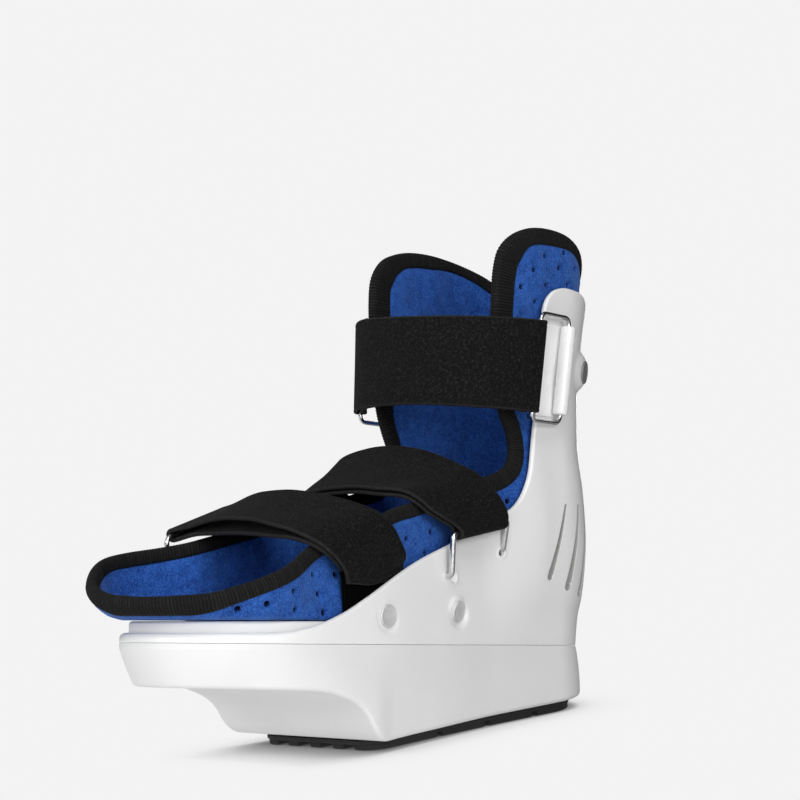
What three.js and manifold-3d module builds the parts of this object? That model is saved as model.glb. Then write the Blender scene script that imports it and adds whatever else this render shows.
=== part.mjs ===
// A postoperative shoe that takes the load off the forefoot: a wedge sole whose toe
// end hangs free, a lugged tread under its rear, a rigid white shell with a heel cup
// and two ankle uprights, a padded blue liner with a ribbed black binding, and three
// black straps that fold back through wire rings.
//
// Everything but the tread is drawn in the deck frame, where the joint between sole
// and shell is flat: p runs forward from the back of the heel to the toe, q to the
// shoe's left, h upward from that joint. The wedge then tips the deck toe-up.
// Millimetres, +Z up, toe towards -Y.
import * as THREE from 'three';
import { mergeVertices } from 'three/addons/utils/BufferGeometryUtils.js';
import Module from 'manifold-3d';

const wasm = await Module();
wasm.setup();

// ---------------------------------------------------------------- driving sizes
const LENGTH = 282;            // sole, heel to toe, at the joint with the shell
const HEEL_ROUND = 40;         // length of the rounded heel end
const TOE_ROUND = 70;          // length of the rounded toe end
const WEDGE_RISE = 0.1;        // deck rise per millimetre of length
const HEEL_HEIGHT = 31;        // joint above the ground at the back of the heel
const TREAD_THICK = 5;         // tread, plate and lugs together
const TREAD_PLATE = 2.1;       // tread plate alone
const GAP = 0.3;               // play between pieces that touch

const SHELL_WALL = 3;          // shell wall
const SHELL_FLOOR = 3;         // shell floor
const PLATE_TOP = 11.2;        // top of the foot plate above the joint
const PLATE_INSET = 5.3;       // foot plate edge in from the shell's lip
const LINER_FOAM = 5;          // liner wall
const LINER_BASE = 3;          // liner footbed
const LINER_GAP_HEEL = 4.8;    // liner's outside in from the shell's outside, heel
const LINER_GAP_SIDE = 7.0;    // the same beside the straps
const BINDING_TALL = 8;        // binding over the liner's edge, at the instep
const BINDING_THICK = 6.6;

const STRAP_THICK = 2;         // one layer of strap
const STRAP_PLAY = 0.4;        // air between two layers
const WIRE = 2.4;              // ring wire
const SLEEVE_OUT = 8;          // white sleeve over a ring's rear bar
const RIVET_HEAD = 11.5;
const RIVET_TALL = 1.8;

const SHELL_COLUMNS = 72;      // columns round the shell and round the liner
const LINER_COLUMNS = 76;
const SHELL_ROWS = 7;
const LINER_ROWS = 5;

// Half width of the deck along its length, before its ends are rounded.
const DECK_PLAN = [ // p, half width
  [0, 40], [40, 40], [90, 43], [140, 48], [190, 52], [230, 52], [282, 48],
];
// How far the shell's wall stands out of the deck outline, by height.
const HEEL_BULGE = [ // h, out
  [0, 0], [14, 1.3], [24, 3.5], [40, 5.5], [55, 6.3], [80, 5], [107, 2.2], [131, 2.2],
  [160, 5], [190, 9], [225, 12],
];
const SIDE_LEAN = [ // h, out
  [0, 0], [60, -2.5], [90, -2.5], [120, 2], [160, 5], [225, 6],
];
// Liner's flare past the deck outline at the toe: the left wall stands plain, the
// front and the right wall roll outward.
const TOE_FLARE_LEFT = [ // h, out
  [10, -4.5], [14, 0], [20, 3.5], [26, 5], [60, 4],
];
const TOE_FLARE_RIGHT = [ // h, out
  [10, -4.5], [14, 6], [20, 12.5], [26, 15], [36, 14.5], [60, 8],
];
// Sole's draw per millimetre below the joint: out at the heel, in at the toe.
const SOLE_DRAW = [ // p, out per mm
  [0, 0.09], [40, 0.08], [100, -0.06], [150, -0.07], [172, -0.04], [188, 0.05], [205, 0.09],
  [235, -0.08], [262, -0.34], [282, -0.42],
];
// Underside of the toe end and the scoop down to the bearing block.
const SCOOP = [ // p, h
  [226, -19.5], [216, -20.6], [209, -22.4], [201.5, -25.2], [196, -28.5], [192, -32.5],
  [189, -37], [186, -40.5], [181, -43.2],
];
// Edge of the shell from the back of the heel to the toe, mirrored on the right.
const SHELL_EDGE = [ // s along the deck outline, h
  [0, 98], [10, 100.5], [18, 110], [23, 131], [27, 156], [31, 173], [37, 181], [47, 185.5],
  [58, 186.6], [66, 186.3], [74, 183.5], [79, 178], [80.6, 168], [80.3, 141], [82.2, 121],
  [83.8, 110], [85.8, 99.5], [88.6, 89.5], [92.4, 81.2], [97, 74], [102, 69], [109, 65.2], [120, 60.5],
  [134, 54.5], [150, 48.6], [168, 42.6], [184, 36.4], [199, 29.4], [215, 21.5], [229, 15], [246, 9.5], [262, 6.2], [290, 5.2],
];
// Top of the binding, left side from the back of the heel to the toe.
const RIM_LEFT = [ // s, h
  [0, 190], [20, 197], [38, 208.5], [52, 214.3], [64, 217], [80, 216.9], [92, 214.6],
  [102, 209.5], [109, 201.6], [112, 190], [112.5, 178], [112.2, 164], [110.6, 146], [106.4, 127], [101.6, 115.5],
  [97, 108], [95.2, 101], [96, 95], [99.8, 89.8], [106, 86.2], [115, 83.4], [135, 77.5], [150, 73], [172, 67.5], [183, 64.8], [199, 59.4],
  [215, 54.5], [231, 49.5], [246, 43.2], [258, 37], [270, 32], [284, 27], [297, 23], [312, 21.4], [326, 21],
];
// The same on the right, where the lobe reaches further forward and the toe wall
// stands higher.
const RIM_RIGHT = [ // s, h
  [0, 190], [20, 196.5], [38, 208.5], [52, 214], [66, 216], [86, 215.5], [102, 211.5],
  [113, 206], [120, 196], [122, 180], [121.5, 164], [121, 150], [119.5, 124], [116.5, 111], [114, 102],
  [115, 93], [121, 86], [131, 80.5], [150, 74], [172, 67.5], [183, 64.8], [199, 60.5], [215, 56.6],
  [231, 52.6], [246, 49], [260, 46], [272, 43.6], [284, 40.4], [295, 35.8], [304, 30.6], [314, 25.6], [326, 22],
];
// Lean of the liner's columns, so that they keep behind the notch under each lobe.
const LOBE_LEAN = [ // h, s
  [10, -38.6], [70, -38.4], [82, -38], [92, -35], [104, -28], [113, -21], [124, -13.5], [150, -4], [180, 0],
  [230, 0.1],
];
// Straps: the two edges of each strap's middle surface.
const FOREFOOT = [ // front q, p, h, rear q, p, h
  [46.8, 202.3, 12.5, 44.3, 161.5, 14], [46.6, 202.3, 16.5, 44, 161.7, 38.5], [48.2, 203.2, 27, 46.6, 163.5, 43],
  [49.3, 205.5, 32.5, 47.6, 168, 49], [50.2, 210.5, 37.6, 47.6, 172.5, 54.8], [49.2, 217.2, 42.6, 45.2, 178.5, 60.2],
  [44.7, 221.6, 46.5, 38.7, 180.7, 63.2], [36, 223, 49.2, 27, 181.5, 65.8], [20, 223.7, 51.6, 6, 183, 68.6],
  [3, 221.5, 53.8, -10, 184.5, 69.8], [-14, 220.8, 54.8, -25, 185, 69.6], [-34, 222, 54.6, -41, 186.8, 68],
  [-50, 224.8, 52.4, -53.4, 188.5, 64.8],
];
const INSTEP = [ // front q, p, h, rear q, p, h
  [50.4, 129.3, 53.8, 47.6, 92, 60.8], [49.6, 132, 57, 47.8, 91, 65.2], [48.2, 138.3, 60, 46.8, 92.6, 69.6],
  [45.9, 144.5, 63.6, 45.4, 95.6, 74.2], [42.2, 148.8, 68.3, 42.8, 98.8, 79], [35, 151.6, 72.2, 38.5, 102.5, 83.6],
  [20, 154.5, 74, 27, 105.6, 89.6], [6, 154, 75.6, 11, 108, 96], [-10, 152.8, 76, -7, 111.4, 99.6],
  [-27, 149, 76, -25, 114.6, 99.2], [-41, 144.5, 75.4, -42, 117.5, 94], [-48.4, 141, 71.5, -48.6, 116, 84],
  [-46.6, 139.5, 63, -44, 110, 77], [-41.2, 138.3, 51, -37.6, 105.5, 66.5], [-41.8, 137.5, 27, -38.2, 104, 34],
];
const ANKLE = [ // lower q, p, h, upper q, p, h
  [49.4, 71, 117.6, 52.6, 67, 165.5], [47.6, 82, 117.9, 50, 81.5, 165.2], [40.5, 96.5, 118.4, 41.5, 97, 165.2],
  [27, 109.5, 119.6, 27, 110.5, 165.5], [9, 117, 121, 9, 117.5, 166.5], [-11, 117.5, 122, -11, 117.5, 168.3],
  [-30, 113, 122.6, -30, 112.5, 170], [-44, 103.5, 122.8, -44, 102.5, 170.6], [-50.6, 95.5, 122.8, -50.6, 94, 170.8],
];
const FREE_END_FOREFOOT = 2.5; // row of the table where the upper layer ends
const FREE_END_INSTEP = 10.9;
const FOREFOOT_SAG = 3.4;      // lower layer below the upper one, mid-span
// Rings, as four corners: two on the strap's bar, two on the bar that is anchored.
const ANKLE_RING_LEFT = [ // q, p, h
  [49.13, 71.33, 113.6], [52.87, 66.67, 169.5], [51.4, 42, 169.6], [46.9, 46.2, 114],
];
const ANKLE_RING_RIGHT = [ // q, p, h
  [-50.6, 95.6, 118.6], [-50.6, 93.9, 175], [-51.2, 69, 174.4], [-50.2, 71.5, 118.2],
];
const INSTEP_RING = [ // q, p, h
  [50.6, 132.4, 52.9], [47.4, 88.8, 61.6], [46.6, 87.2, 47.4], [38.6, 86.6, 46.3], [37.5, 99, 42.3], [41, 131.6, 33.4],
  [49.2, 132.2, 33],
];
const WEB_END = [[-46.9, 214, 13], [-46.2, 187, 17]]; // lower end of the ring's webbing, q, p, h
const FOREFOOT_RING = [ // q, p, h
  [-49.6, 228.7, 51.1], [-53.8, 184.6, 66.1], [-54.6, 179.4, 50], [-51.2, 223.4, 35],
];
// Rivets, as places on the shell's outside.
const RIVETS = [ // name, s, h
  ['fore', 201, 13.7], ['mid', 146.5, 16.1], ['top', 35.4, 146],
];
const BOSS_BASE = 25;          // raised boss under the top rivet
const BOSS_TOP = 14;
const BOSS_TALL = 3.4;
// Grooves round the heel cup, mirrored on the right.
const GROOVES = [ // s at top, h at top, s at bottom, h at bottom
  [62.8, 73, 76.6, 31], [51.2, 74, 60.6, 26], [40.5, 74, 46.8, 24],
];
const GROOVE_DEEP = 1.8;
const GROOVE_WIDE = 4.6;       // at the lower end; the upper end is a third of it
// Tread blocks, in the ground frame.
const TREAD_COLUMNS = [ // q from, q to
  [-42, -26.5], [-19, -12], [-3.5, 3.5], [12, 19], [26.5, 42],
];
// Half width of the tread, before its ends are rounded.
const TREAD_PLAN = [ // p, half width
  [0, 36], [40, 38.5], [90, 37.5], [140, 38.5], [181, 41],
];
const TREAD_NOSE = 14;         // rounding of its front corners
const TREAD_ROWS = [ // p from, p to
  [0, 22], [26, 58], [62, 94], [98, 130], [134, 186],
];

const WHITE_PLASTIC = { color: 0xe9eaec, roughness: 0.42, metalness: 0 };
const WHITE_FOAM = { color: 0xe3e4e6, roughness: 0.62, metalness: 0 };
const BLACK_RUBBER = { color: 0x18181a, roughness: 0.8, metalness: 0 };
const BLUE_FABRIC = { color: 0x2453b5, roughness: 0.95, metalness: 0 };
const BLACK_ELASTIC = { color: 0x1b1b1d, roughness: 0.9, metalness: 0 };
const CHROME = { color: 0xc9ccd0, roughness: 0.18, metalness: 1 };
const ALUMINIUM = { color: 0xb9bbbe, roughness: 0.45, metalness: 0.6 };

// ---------------------------------------------------------------- tables and curves
const clamp = (x, a, b) => Math.min(b, Math.max(a, x));
const smooth = (a, b, x) => { const t = clamp((x - a) / (b - a), 0, 1); return t * t * (3 - 2 * t); };
const lerp = (a, b, t) => a + (b - a) * t;

// A smooth curve through a two-column table that never overshoots its rows.
function curve(table) {
  const n = table.length, d = [], m = [];
  for (let i = 0; i < n - 1; i++) d.push((table[i + 1][1] - table[i][1]) / (table[i + 1][0] - table[i][0]));
  for (let i = 0; i < n; i++) {
    if (i === 0) m.push(d[0]);
    else if (i === n - 1) m.push(d[n - 2]);
    else if (d[i - 1] * d[i] <= 0) m.push(0);
    else {
      const h0 = table[i][0] - table[i - 1][0], h1 = table[i + 1][0] - table[i][0];
      const w0 = 2 * h1 + h0, w1 = h1 + 2 * h0;
      m.push((w0 + w1) / (w0 / d[i - 1] + w1 / d[i]));
    }
  }
  return (x) => {
    if (x <= table[0][0]) return table[0][1] + m[0] * (x - table[0][0]);
    if (x >= table[n - 1][0]) return table[n - 1][1] + m[n - 1] * (x - table[n - 1][0]);
    let i = 0;
    while (x > table[i + 1][0]) i++;
    const h = table[i + 1][0] - table[i][0], t = (x - table[i][0]) / h, t2 = t * t, t3 = t2 * t;
    return (2 * t3 - 3 * t2 + 1) * table[i][1] + (t3 - 2 * t2 + t) * h * m[i]
      + (3 * t2 - 2 * t3) * table[i + 1][1] + (t3 - t2) * h * m[i + 1];
  };
}

const deckPlan = curve(DECK_PLAN), heelBulge = curve(HEEL_BULGE), sideLean = curve(SIDE_LEAN);
const flareLeft = curve(TOE_FLARE_LEFT), flareRight = curve(TOE_FLARE_RIGHT), soleDraw = curve(SOLE_DRAW), treadPlan = curve(TREAD_PLAN), lobeLean = curve(LOBE_LEAN);

function halfWidth(p) {
  const a = clamp((HEEL_ROUND - p) / HEEL_ROUND, 0, 1), b = clamp((p - LENGTH + TOE_ROUND) / TOE_ROUND, 0, 1);
  return deckPlan(p) * Math.sqrt(1 - a * a) * Math.pow(Math.max(0, 1 - Math.pow(b, 2.2)), 1 / 2.2);
}

// The deck outline by arc length s: 0 at the back of the heel, HALF at the toe,
// positive down the left side and negative down the right.
const OUTLINE = [];
for (let i = 0, s = 0, last = null; i <= 2000; i++) {
  const p = LENGTH * (1 - Math.cos(Math.PI * i / 2000)) / 2, q = halfWidth(p);
  if (last) s += Math.hypot(p - last[0], q - last[1]);
  last = [p, q];
  OUTLINE.push({ s, p, q });
}
const HALF = OUTLINE[2000].s;
function along(s) {
  let a = 0, b = 2000;
  while (b - a > 1) { const m = (a + b) >> 1; if (OUTLINE[m].s > s) b = m; else a = m; }
  const A = OUTLINE[a], B = OUTLINE[b], t = clamp((s - A.s) / (B.s - A.s), 0, 1);
  return [lerp(A.p, B.p, t), lerp(A.q, B.q, t)];
}
function outline(s) {
  while (s > HALF) s -= 2 * HALF;
  while (s < -HALF) s += 2 * HALF;
  const side = s < 0 ? -1 : 1, a = Math.abs(s), e = 0.5;
  const [p, q] = along(a);
  const fore = a + e > HALF ? [along(2 * HALF - a - e)[0], -along(2 * HALF - a - e)[1]] : along(a + e);
  const back = a < e ? [along(e - a)[0], -along(e - a)[1]] : along(a - e);
  const tp = fore[0] - back[0], tq = fore[1] - back[1], l = Math.hypot(tp, tq);
  return { p, q: q * side, np: -tq / l, nq: side * tp / l, toe: side > 0 ? a - HALF : HALF - a };
}
const deck = (p, q, h) => new THREE.Vector3(q, -p, h);

// Points on the shell's outside and on the liner's outside, drawn in by `inset`.
function shellPoint(s, h, inset = 0) {
  const o = outline(s), heel = 1 - smooth(55, 105, o.p);
  const out = lerp(sideLean(h), heelBulge(h), heel) - inset;
  return deck(o.p + o.np * out, o.q + o.nq * out, h);
}
function linerPoint(s, h, inset = 0) {
  const o = outline(s), heel = 1 - smooth(55, 105, o.p), toe = o.q > 0 ? smooth(212, 255, o.p) : smooth(215, 262, o.p);
  const body = lerp(sideLean(h), heelBulge(h), heel) - lerp(LINER_GAP_HEEL, LINER_GAP_SIDE, smooth(60, 95, o.p));
  const flare = lerp(flareLeft(h), flareRight(h), smooth(-60, 0, o.toe));
  const out = lerp(body, flare, toe) - inset;
  return deck(o.p + o.np * out, o.q + o.nq * out, h);
}

// ---------------------------------------------------------------- solids
function solid(vertices, triangles) {
  const flat = new Float32Array(vertices.length * 3);
  vertices.forEach((v, i) => v.toArray(flat, i * 3));
  const g = new THREE.BufferGeometry();
  g.setAttribute('position', new THREE.BufferAttribute(flat, 3));
  g.setIndex(triangles);
  return g;
}
function toManifold(geometry) {
  const g = geometry.clone();
  for (const name of Object.keys(g.attributes)) if (name !== 'position') g.deleteAttribute(name);
  const m = mergeVertices(g, 1e-3);
  return new wasm.Manifold(new wasm.Mesh({
    numProp: 3, vertProperties: m.attributes.position.array, triVerts: new Uint32Array(m.index.array),
  }));
}
function fromManifold(made) {
  const m = made.getMesh(), g = new THREE.BufferGeometry();
  g.setAttribute('position', new THREE.BufferAttribute(new Float32Array(m.vertProperties), 3));
  g.setIndex(new THREE.BufferAttribute(new Uint32Array(m.triVerts), 1));
  return g;
}
// Cap a flat closed ring of vertices; `forward` faces keep the ring's own direction.
function cap(vertices, ring, triangles, forward) {
  const flat = ring.map((i) => new THREE.Vector2(vertices[i].x, vertices[i].y));
  const left = (THREE.ShapeUtils.area(flat) > 0) === forward;
  for (const [a, b, c] of THREE.ShapeUtils.triangulateShape(flat, [])) {
    const A = flat[a], B = flat[b], C = flat[c];
    const turn = (B.x - A.x) * (C.y - A.y) - (B.y - A.y) * (C.x - A.x);
    if ((turn > 0) === left) triangles.push(ring[a], ring[b], ring[c]);
    else triangles.push(ring[a], ring[c], ring[b]);
  }
}
// Rings of equal length joined into one skin, with flat caps on the first and last.
function skin(rings) {
  const n = rings[0].length, vertices = rings.flat(), triangles = [];
  for (let r = 0; r < rings.length - 1; r++) {
    const a = r * n, b = (r + 1) * n;
    for (let i = 0; i < n; i++) {
      const j = (i + 1) % n;
      triangles.push(a + i, a + j, b + j, a + i, b + j, b + i);
    }
  }
  const ring = (r) => Array.from({ length: n }, (_, i) => r * n + i);
  cap(vertices, ring(0), triangles, false);
  cap(vertices, ring(rings.length - 1), triangles, true);
  return facingOut(solid(vertices, triangles));
}
function facingOut(g) {
  const p = g.attributes.position, ix = g.index.array;
  let volume = 0;
  const a = new THREE.Vector3(), b = new THREE.Vector3(), c = new THREE.Vector3();
  for (let i = 0; i < ix.length; i += 3) {
    a.fromBufferAttribute(p, ix[i]); b.fromBufferAttribute(p, ix[i + 1]); c.fromBufferAttribute(p, ix[i + 2]);
    volume += a.dot(b.cross(c));
  }
  if (volume < 0) for (let i = 0; i < ix.length; i += 3) [ix[i + 1], ix[i + 2]] = [ix[i + 2], ix[i + 1]];
  return g;
}
// An open or closed run of flat sections, with fan caps on an open run's ends.
function run(sections, closed) {
  const n = sections[0].length, vertices = sections.flat(), triangles = [];
  const bands = closed ? sections.length : sections.length - 1;
  for (let r = 0; r < bands; r++) {
    const a = r * n, b = ((r + 1) % sections.length) * n;
    for (let i = 0; i < n; i++) {
      const j = (i + 1) % n;
      triangles.push(a + i, a + j, b + j, a + i, b + j, b + i);
    }
  }
  if (!closed) {
    const z = (sections.length - 1) * n;
    for (let i = 1; i < n - 1; i++) triangles.push(0, i + 1, i, z, z + i, z + i + 1);
  }
  return facingOut(solid(vertices, triangles));
}

// A closed edge in the (s, h) plane from a left and a right table, as evenly spaced points.
function edgeLoop(left, right, count) {
  const half = (table) => {
    const rows = [...table, [HALF, table[table.length - 1][1]]];
    const ghost = [[-rows[1][0], rows[1][1]], ...rows, [2 * HALF - rows[rows.length - 2][0], rows[rows.length - 2][1]]];
    const spline = new THREE.CatmullRomCurve3(ghost.map(([s, h]) => new THREE.Vector3(s, h, 0)), false, 'centripetal');
    const fine = spline.getPoints(1600).filter((v) => v.x >= 0 && v.x <= HALF);
    fine[0].x = 0;
    fine.push(new THREE.Vector3(HALF, fine[fine.length - 1].y, 0));
    const at = [0];
    for (let i = 1; i < fine.length; i++) at.push(at[i - 1] + fine[i].distanceTo(fine[i - 1]));
    const total = at[at.length - 1], points = [];
    for (let k = 0; k <= count / 2; k++) {
      const want = total * k / (count / 2);
      let i = 1;
      while (i < at.length - 1 && at[i] < want) i++;
      const t = at[i] > at[i - 1] ? (want - at[i - 1]) / (at[i] - at[i - 1]) : 0;
      points.push({ s: lerp(fine[i - 1].x, fine[i].x, t), h: lerp(fine[i - 1].y, fine[i].y, t), part: k / (count / 2) });
    }
    return points;
  };
  const l = half(left), r = half(right), loop = [];
  for (let k = 0; k < count / 2; k++) loop.push(l[k]);
  for (let k = count / 2; k > 0; k--) loop.push({ s: -r[k].s, h: r[k].h, part: -r[k].part });
  return loop;
}
// Where each column of the loop starts at the bottom: between straight below its edge
// point and its share of the whole edge, so that steep edges still get wide columns.
const columnFoot = (e) => 0.55 * e.s + 0.45 * e.part * HALF;
// The loop moved square to itself in the (s, h) plane, by a length for each point.
function insetLoop(loop, by) {
  const n = loop.length;
  return loop.map((e, i) => {
    const a = loop[(i + n - 1) % n], b = loop[(i + 1) % n];
    const turn = (d) => (d > HALF ? d - 2 * HALF : d < -HALF ? d + 2 * HALF : d);
    const ds = turn(b.s - a.s), dh = b.h - a.h, l = Math.hypot(ds, dh);
    return { ...e, s: e.s + by(e) * dh / l, h: e.h - by(e) * ds / l };
  });
}

const straightColumn = (e, foot, t) => [lerp(columnFoot(e), e.s, t), lerp(foot, e.h, t)];
function leaningColumn(e, foot, t) {
  const h = lerp(foot, e.h, t), side = Math.sign(e.part), s = Math.abs(e.s), lean = smooth(30, 95, s);
  const at = (x) => s + (lobeLean(x) - lobeLean(e.h)) * lean;
  return [side * (at(h) + (1 - t) * 0.3 * (Math.abs(e.part) * HALF - at(foot))), h];
}

// A bowl: an outer wall up to an edge loop, the edge, an inner wall and a floor.
function bowl(point, loop, wall, bottom, floor, rows, level) {
  const rings = [];
  for (let r = 0; r <= rows; r++) rings.push(loop.map((e) => point(...level(e, bottom, r / rows), 0)));
  for (let r = rows; r >= 0; r--) rings.push(loop.map((e) => point(...level(e, floor, r / rows), wall)));
  return skin(rings);
}

// ---------------------------------------------------------------- sole and tread
function makeSole() {
  const columns = 60, levels = [0, -10, -21, -34, -52];
  const rings = levels.map((h) => Array.from({ length: columns }, (_, i) => {
    const o = outline(-HALF + 2 * HALF * i / columns), out = -h * soleDraw(o.p);
    return deck(o.p + o.np * out, o.q + o.nq * out, h);
  }));
  const block = skin(rings);
  // Everything below this side profile is cut away.
  const bottom = (p) => -(HEEL_HEIGHT - TREAD_THICK + WEDGE_RISE * p);
  const side = new THREE.Shape([
    [LENGTH + 30, -17], ...SCOOP, [172, bottom(172)], [-40, bottom(-40)], [-40, -90], [LENGTH + 30, -90],
  ].map(([p, h]) => new THREE.Vector2(p, h)));
  const cutter = new THREE.ExtrudeGeometry(side, { depth: 160, bevelEnabled: false });
  cutter.translate(0, 0, -80);
  // (p, h, across) to (q, -p, h)
  cutter.applyMatrix4(new THREE.Matrix4().set(0, 0, 1, 0, -1, 0, 0, 0, 0, 1, 0, 0, 0, 0, 0, 1));
  return fromManifold(toManifold(block).subtract(toManifold(facingOut(mergeVertices(bare(cutter), 1e-3)))));
}
function bare(g) {
  const c = g.clone();
  for (const name of Object.keys(c.attributes)) if (name !== 'position') c.deleteAttribute(name);
  return c;
}
// Tread outline on the ground: forward distance from the deck's heel point, and side.
function treadOutline(inset) {
  const points = [], columns = 26, back = 9 + inset, front = 181 - inset;
  for (let i = 0; i <= columns; i++) {
    const p = lerp(back, front, (1 - Math.cos(Math.PI * i / columns)) / 2);
    const heel = clamp((HEEL_ROUND + 4 - p) / (HEEL_ROUND + 4 - back), 0, 1);
    const wide = (treadPlan(p) - inset) * Math.sqrt(Math.max(0, 1 - heel * heel));
    const nose = clamp((p - front + TREAD_NOSE) / TREAD_NOSE, 0, 1);
    points.push([p, wide - TREAD_NOSE * (1 - Math.sqrt(1 - nose * nose))]);
  }
  return [...points, ...points.slice(1).reverse().map(([p, q]) => [p, -q])].filter(([p, q], i, all) =>
    i === 0 || Math.hypot(p - all[i - 1][0], q - all[i - 1][1]) > 0.2);
}
function makeTread() {
  const prism = (points, from, to) => {
    const shape = new THREE.Shape(points.map(([p, q]) => new THREE.Vector2(q, -p)));
    const g = new THREE.ExtrudeGeometry(shape, { depth: to - from, bevelEnabled: false });
    g.translate(0, 0, from);
    return toManifold(facingOut(mergeVertices(bare(g), 1e-3)));
  };
  let tread = prism(treadOutline(0), TREAD_THICK - GAP - TREAD_PLATE, TREAD_THICK - GAP);
  const lugArea = prism(treadOutline(0.6), 0, TREAD_THICK - TREAD_PLATE);
  for (const [q0, q1] of TREAD_COLUMNS) for (const [p0, p1] of TREAD_ROWS) {
    const lug = prism([[p0, q0], [p1, q0], [p1, q1], [p0, q1]], 0, TREAD_THICK - TREAD_PLATE).intersect(lugArea);
    if (!lug.isEmpty()) tread = tread.add(lug);
  }
  return fromManifold(tread);
}

// ---------------------------------------------------------------- shell, plate, liner
function surfaceFrame(s, h) {
  const o = shellPoint(s, h), ds = shellPoint(s + 0.5, h).sub(shellPoint(s - 0.5, h)).normalize();
  const dh = shellPoint(s, h + 0.5).sub(shellPoint(s, h - 0.5)).normalize();
  const out = ds.clone().cross(dh);
  const centre = deck(clamp(-o.y, 40, 212), 0, h);
  if (out.dot(o.clone().sub(centre)) < 0) out.negate();
  return { o, ds, dh, out: out.normalize() };
}
// A turned piece standing on the shell's outside at (s, h).
function onShell(profile, s, h, lift, sides = 20) {
  const g = bare(new THREE.LatheGeometry(profile.map(([r, y]) => new THREE.Vector2(r, y)), sides));
  const f = surfaceFrame(s, h);
  const turn = new THREE.Quaternion().setFromUnitVectors(new THREE.Vector3(0, 1, 0), f.out);
  const at = f.o.clone().addScaledVector(f.out, lift);
  g.applyMatrix4(new THREE.Matrix4().compose(at, turn, new THREE.Vector3(1, 1, 1)));
  return facingOut(mergeVertices(g, 1e-3));
}
// A tapered bar sunk into the shell's outside between two places.
function groove(s0, h0, s1, h1) {
  const sections = [];
  for (let k = 0; k <= 6; k++) {
    const t = k / 6, bow = 1.5 * Math.sin(Math.PI * t) * Math.sign(s0);
    const s = lerp(s0, s1, t) + bow, h = lerp(h0, h1, t), f = surfaceFrame(s, h);
    const wide = lerp(GROOVE_WIDE / 3, GROOVE_WIDE, t) / 2, deep = GROOVE_DEEP * Math.min(1, 0.45 + 2 * t);
    const corner = (a, b) => f.o.clone().addScaledVector(f.ds, a).addScaledVector(f.out, b);
    sections.push([corner(-wide, 2), corner(-wide * 0.6, -deep), corner(wide * 0.6, -deep), corner(wide, 2)]);
  }
  return run(sections, false);
}
function makeShell() {
  let shell = toManifold(bowl(shellPoint, edgeLoop(SHELL_EDGE, SHELL_EDGE, SHELL_COLUMNS), SHELL_WALL, GAP, SHELL_FLOOR, SHELL_ROWS, straightColumn));
  const [, s, h] = RIVETS.find(([name]) => name === 'top');
  for (const side of [1, -1]) {
    shell = shell.add(toManifold(onShell(
      [[0, -2], [BOSS_BASE / 2, -2], [BOSS_BASE / 2, 0], [BOSS_TOP / 2, BOSS_TALL], [0, BOSS_TALL]], side * s, h, 0)));
    for (const [s0, h0, s1, h1] of GROOVES) shell = shell.subtract(toManifold(groove(side * s0, h0, side * s1, h1)));
  }
  // Two holes that let the instep ring's ends through to the inside.
  for (const [a, b] of [[2, 3], [5, 6]]) {
    const from = deck(INSTEP_RING[a][1], INSTEP_RING[a][0], INSTEP_RING[a][2]);
    const to = deck(INSTEP_RING[b][1], INSTEP_RING[b][0], INSTEP_RING[b][2]);
    const bore = bare(new THREE.CylinderGeometry(WIRE / 2 + GAP + 0.5, WIRE / 2 + GAP + 0.5, 16, 12));
    const turn = new THREE.Quaternion().setFromUnitVectors(new THREE.Vector3(0, 1, 0), to.clone().sub(from).normalize());
    bore.applyMatrix4(new THREE.Matrix4().compose(from.add(to).multiplyScalar(0.5), turn, new THREE.Vector3(1, 1, 1)));
    shell = shell.subtract(toManifold(facingOut(mergeVertices(bore, 1e-3))));
  }
  return fromManifold(shell);
}
function makePlate() {
  const columns = 56, ring = (h) => Array.from({ length: columns }, (_, i) => {
    const o = outline(-HALF + 2 * HALF * i / columns);
    return deck(o.p - o.np * PLATE_INSET, o.q - o.nq * PLATE_INSET, h);
  });
  return skin([ring(SHELL_FLOOR + GAP), ring(PLATE_TOP)]);
}
const rim = edgeLoop(RIM_LEFT, RIM_RIGHT, LINER_COLUMNS);
const FOOTBED = PLATE_TOP + GAP + LINER_BASE;
// The binding is widest up the front of each lobe and narrowest behind it. At the toe the
// wall is hardly higher than the footbed, and the binding is lower there.
const bindingTall = (e) => {
  const s = Math.abs(e.s) * (e.s < 0 ? 0.925 : 1);
  const low = lerp(BINDING_TALL, BINDING_TALL - 0.8, smooth(200, 250, s));
  const high = BINDING_TALL - 2.4 + 2.5 * smooth(46, 70, s) + 4.6 * smooth(88, 108, s);
  return Math.min(lerp(low, high, smooth(112, 150, e.h)), e.h - FOOTBED - GAP - 0.5);
};
function makeLiner() {
  const edge = insetLoop(rim, (e) => bindingTall(e) + 2 * GAP);
  return bowl(linerPoint, edge, LINER_FOAM, PLATE_TOP + GAP, FOOTBED, LINER_ROWS, leaningColumn);
}
function makeBinding() {
  const n = rim.length, middle = insetLoop(rim, (e) => bindingTall(e) / 2), foot = insetLoop(rim, bindingTall);
  const sections = rim.map((e, i) => {
    const top = linerPoint(e.s, e.h, LINER_FOAM / 2), low = linerPoint(foot[i].s, foot[i].h, LINER_FOAM / 2);
    const a = linerPoint(middle[(i + n - 1) % n].s, middle[(i + n - 1) % n].h, LINER_FOAM / 2);
    const b = linerPoint(middle[(i + 1) % n].s, middle[(i + 1) % n].h, LINER_FOAM / 2);
    const up = top.clone().sub(low).normalize(), out = b.sub(a).cross(up).normalize();
    const c = top.clone().add(low).multiplyScalar(0.5);
    const at = (u, v) => c.clone().addScaledVector(out, u * BINDING_THICK / 2).addScaledVector(up, v * bindingTall(e) / 2);
    return [at(-1, -1), at(1, -1), at(1, 0.5), at(0.5, 1), at(-0.5, 1), at(-1, 0.5)];
  });
  return run(sections, true);
}

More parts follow.
